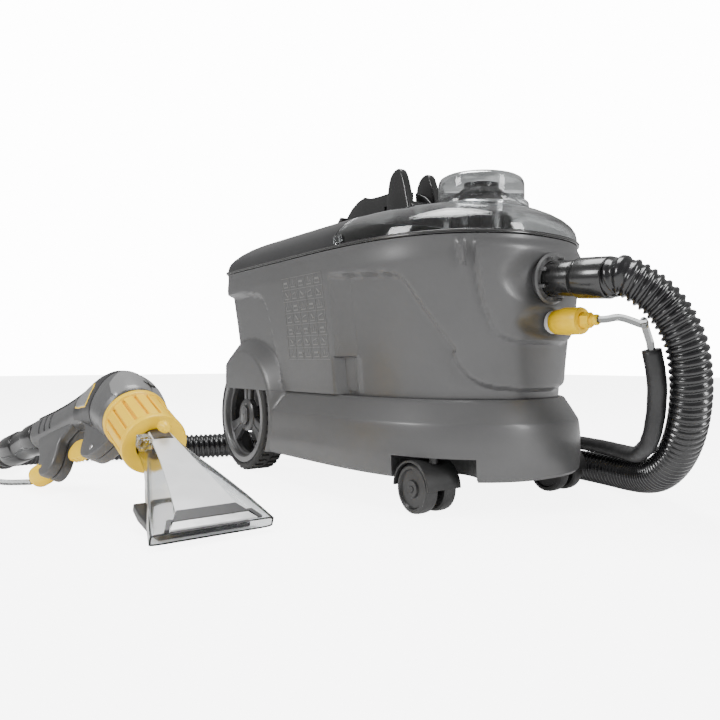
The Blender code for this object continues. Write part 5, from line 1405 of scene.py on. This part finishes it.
# ---- castors -----------------------------------------------------------------------------------
# Two twin-wheel castors in the front pockets: a black hood on a swivel stem over two hard rubber wheels.
CASTOR_RUBBER = moulded("castor rubber", (0.012, 0.012, 0.012), (0.022, 0.022, 0.022), 0.42, 900, 0.10, 30,
                        0.12, 0.15)
HOOD = [(0.0345 * cos(radians(a)), 0.0300 + 0.0345 * sin(radians(a))) for a in range(2, 179, 8)]
for side, name in ((-1, "left"), (1, "right")):
    swivel = Matrix.Translation(MACHINE + Vector((side * CASTOR_X, CASTOR_Y, 0)))
    hood = plate("hood", [(0.0125 + y, z) for y, z in HOOD], -0.0255, 0.0255, swivel, 0, segments=3)
    corner = Vector((side * CASTOR_X, CASTOR_Y + 0.0125, 0.0300))
    carve(hood, [drum("pocket", 0.0315, corner + Vector((lane * 0.0040, 0, 0)),
                      corner + Vector((lane * 0.0300, 0, 0)), 64)
                 for lane in (-1, 1)])
    round_edges(hood, 0.0008, 2, 40)
    smooth_by_angle(hood, 40)
    axle_place = swivel @ Matrix.Translation((0, 0.0125, 0.0300)) @ Matrix.Rotation(radians(90), 4, "Y")
    fork = joined([hood, slab("web", (0.0078, 0.0300, 0.0260), (0, 0.0125, 0.0300), swivel, 0.0010),
                   lathe("stem", [(0.0058, 0.0600), (0.0058, 0.0840), (0.0050, 0.0850)], 24, swivel),
                   lathe("axle", [(0.0036, -0.0238), (0.0038, -0.0232), (0.0038, 0.0232), (0.0036, 0.0238)],
                         20, axle_place)],
                  "castor_fork_" + name + "_hooded")
    settle(fork, PLASTIC_BLACK, "black_plastic", "castor_" + name, "castor_fork_" + name)
    for lane, place in ((-1, "outer" if side < 0 else "inner"), (1, "inner" if side < 0 else "outer")):
        spot = axle_place @ Matrix.Translation((0, 0, lane * 0.0143))
        wheel = lathe("castor_wheel", [(0.0042, -0.0090), (0.0100, -0.0094), (0.0110, -0.0070),
                                       (0.0225, -0.0066), (0.0240, -0.0092),
                                       (0.0272, -0.0092), (0.0294, -0.0072), (0.0300, -0.0040),
                                       (0.0300, 0.0040), (0.0294, 0.0072),
                                       (0.0272, 0.0092), (0.0240, 0.0092), (0.0225, 0.0066),
                                       (0.0110, 0.0070), (0.0100, 0.0094),
                                       (0.0042, 0.0090)], 48, spot, closed=True)
        wheel.name = "castor_wheel_" + name + "_" + place + "_turned"
        settle(wheel, CASTOR_RUBBER, "castor_rubber", "castor_" + name + "_" + place,
               "castor_wheel_" + name + "_" + place)

# ---- instruction label -------------------------------------------------------------------------
# A pale label grid printed on the left flank: thin ruled lines, and a small drawing in each field.
LABEL = moulded("label print", (0.15, 0.15, 0.145), (0.18, 0.18, 0.175), 0.40, 900, 0.05, 60, 0.08)


def flank_point(y, z, out):
    """A point on the left flank's skin, by its place in the side view."""
    half_width, nose, rear = row_at(TANK_ROWS, z)
    turn = asin((min(0.0, y) / nose) ** (NOSE_POWER / 2)) if y < 0 else 0.0
    x = half_width * cos(turn) ** (2 / SIDE_POWER)
    stand = float(press(np.array([-x]), np.array([y]), np.array([z]))[0])
    return Vector((-x - stand - out, y, z))


def printed(name, strokes):
    """Thin raised strokes on the flank; each is (y, z) to (y, z) with a width."""
    points, faces = [], []
    for (y0, z0), (y1, z1), wide in strokes:
        run = Vector((y1 - y0, z1 - z0))
        steps = max(1, round(run.length / 0.006))
        normal = Vector((-run.y, run.x)).normalized() * wide / 2
        for k in range(steps + 1):
            y, z = y0 + run.x * k / steps, z0 + run.y * k / steps
            for out in (0.00035, -0.0004):
                for hand in (-1, 1):
                    points.append(MACHINE + flank_point(y + normal.x * hand, z + normal.y * hand, out))
        base_index = len(points) - 4 * (steps + 1)
        for k in range(steps):
            a, b = base_index + 4 * k, base_index + 4 * (k + 1)
            faces += [(a, a + 1, b + 1, b), (a + 2, b + 2, b + 3, a + 3), (a, b, b + 2, a + 2),
                      (a + 1, a + 3, b + 3, b + 1)]
        a, b = base_index, base_index + 4 * steps
        faces += [(a, a + 2, a + 3, a + 1), (b, b + 1, b + 3, b + 2)]
    piece = new_piece(name, points, faces, False)
    face_outwards(piece)
    return piece


LABEL_LEFT, LABEL_RIGHT, LABEL_LOW, LABEL_HIGH = 0.0415, -0.0735, 0.1850, 0.3050
COLUMNS, ROWS = 5, 7
strokes = []
for k in range(COLUMNS + 1):
    y = LABEL_LEFT + (LABEL_RIGHT - LABEL_LEFT) * k / COLUMNS
    strokes.append(((y - 0.0036, LABEL_HIGH), (y, LABEL_LOW), 0.0006))
for k in range(ROWS + 1):
    z = LABEL_LOW + (LABEL_HIGH - LABEL_LOW) * k / ROWS
    strokes.append(((LABEL_LEFT, z), (LABEL_RIGHT - 0.003, z), 0.0006))
settle(printed("label_rules", strokes), LABEL, "body_grey", "machine")
strokes = []
for column in range(COLUMNS):
    for row in range(ROWS):
        y = LABEL_LEFT + (LABEL_RIGHT - LABEL_LEFT) * (column + 0.5) / COLUMNS - 0.002
        z = LABEL_LOW + (LABEL_HIGH - LABEL_LOW) * (row + 0.5) / ROWS
        kind = (column * 2 + row * 3) % 4
        wide, tall = 0.0068, 0.0046
        strokes.append(((y + wide, z - tall), (y - wide, z - tall), 0.0012))
        strokes.append(((y + wide, z - tall), (y + wide * 0.8, z + tall * 0.3), 0.0010))
        strokes.append(((y - wide, z - tall), (y - wide * 0.8, z + tall * 0.3), 0.0010))
        if kind == 0:
            strokes.append(((y, z + tall * 1.3), (y, z - tall * 0.4), 0.0014))
        elif kind == 1:
            strokes.append(((y + wide * 0.8, z + tall * 0.3), (y - wide * 0.8, z + tall * 0.9), 0.0012))
        elif kind == 2:
            strokes.append(((y + wide * 0.8, z + tall * 0.3), (y - wide * 0.8, z + tall * 0.3), 0.0026))
        else:
            strokes.append(((y + wide * 0.5, z + tall), (y - wide * 0.4, z - tall * 0.3), 0.0030))
settle(printed("label_drawings", strokes), LABEL, "body_grey", "machine")

# ---- parts inside and below --------------------------------------------------------------------
# The dirty tank, turbine, pump, duct, strainer, axle, rest pad and cable gland keep their drawn shapes.
for name, finish in (("dirty_tank", SMOKE), ("suction_turbine", STEEL), ("rear_axle", STEEL),
                     ("water_strainer", YELLOW),
                     ("water_pump", PLASTIC_BLACK), ("suction_duct", PLASTIC_BLACK),
                     ("underside_pad", PLASTIC_BLACK),
                     ("cable_gland", PLASTIC_BLACK)):
    for surface_slot in bpy.data.objects[name].material_slots:
        surface_slot.material = finish
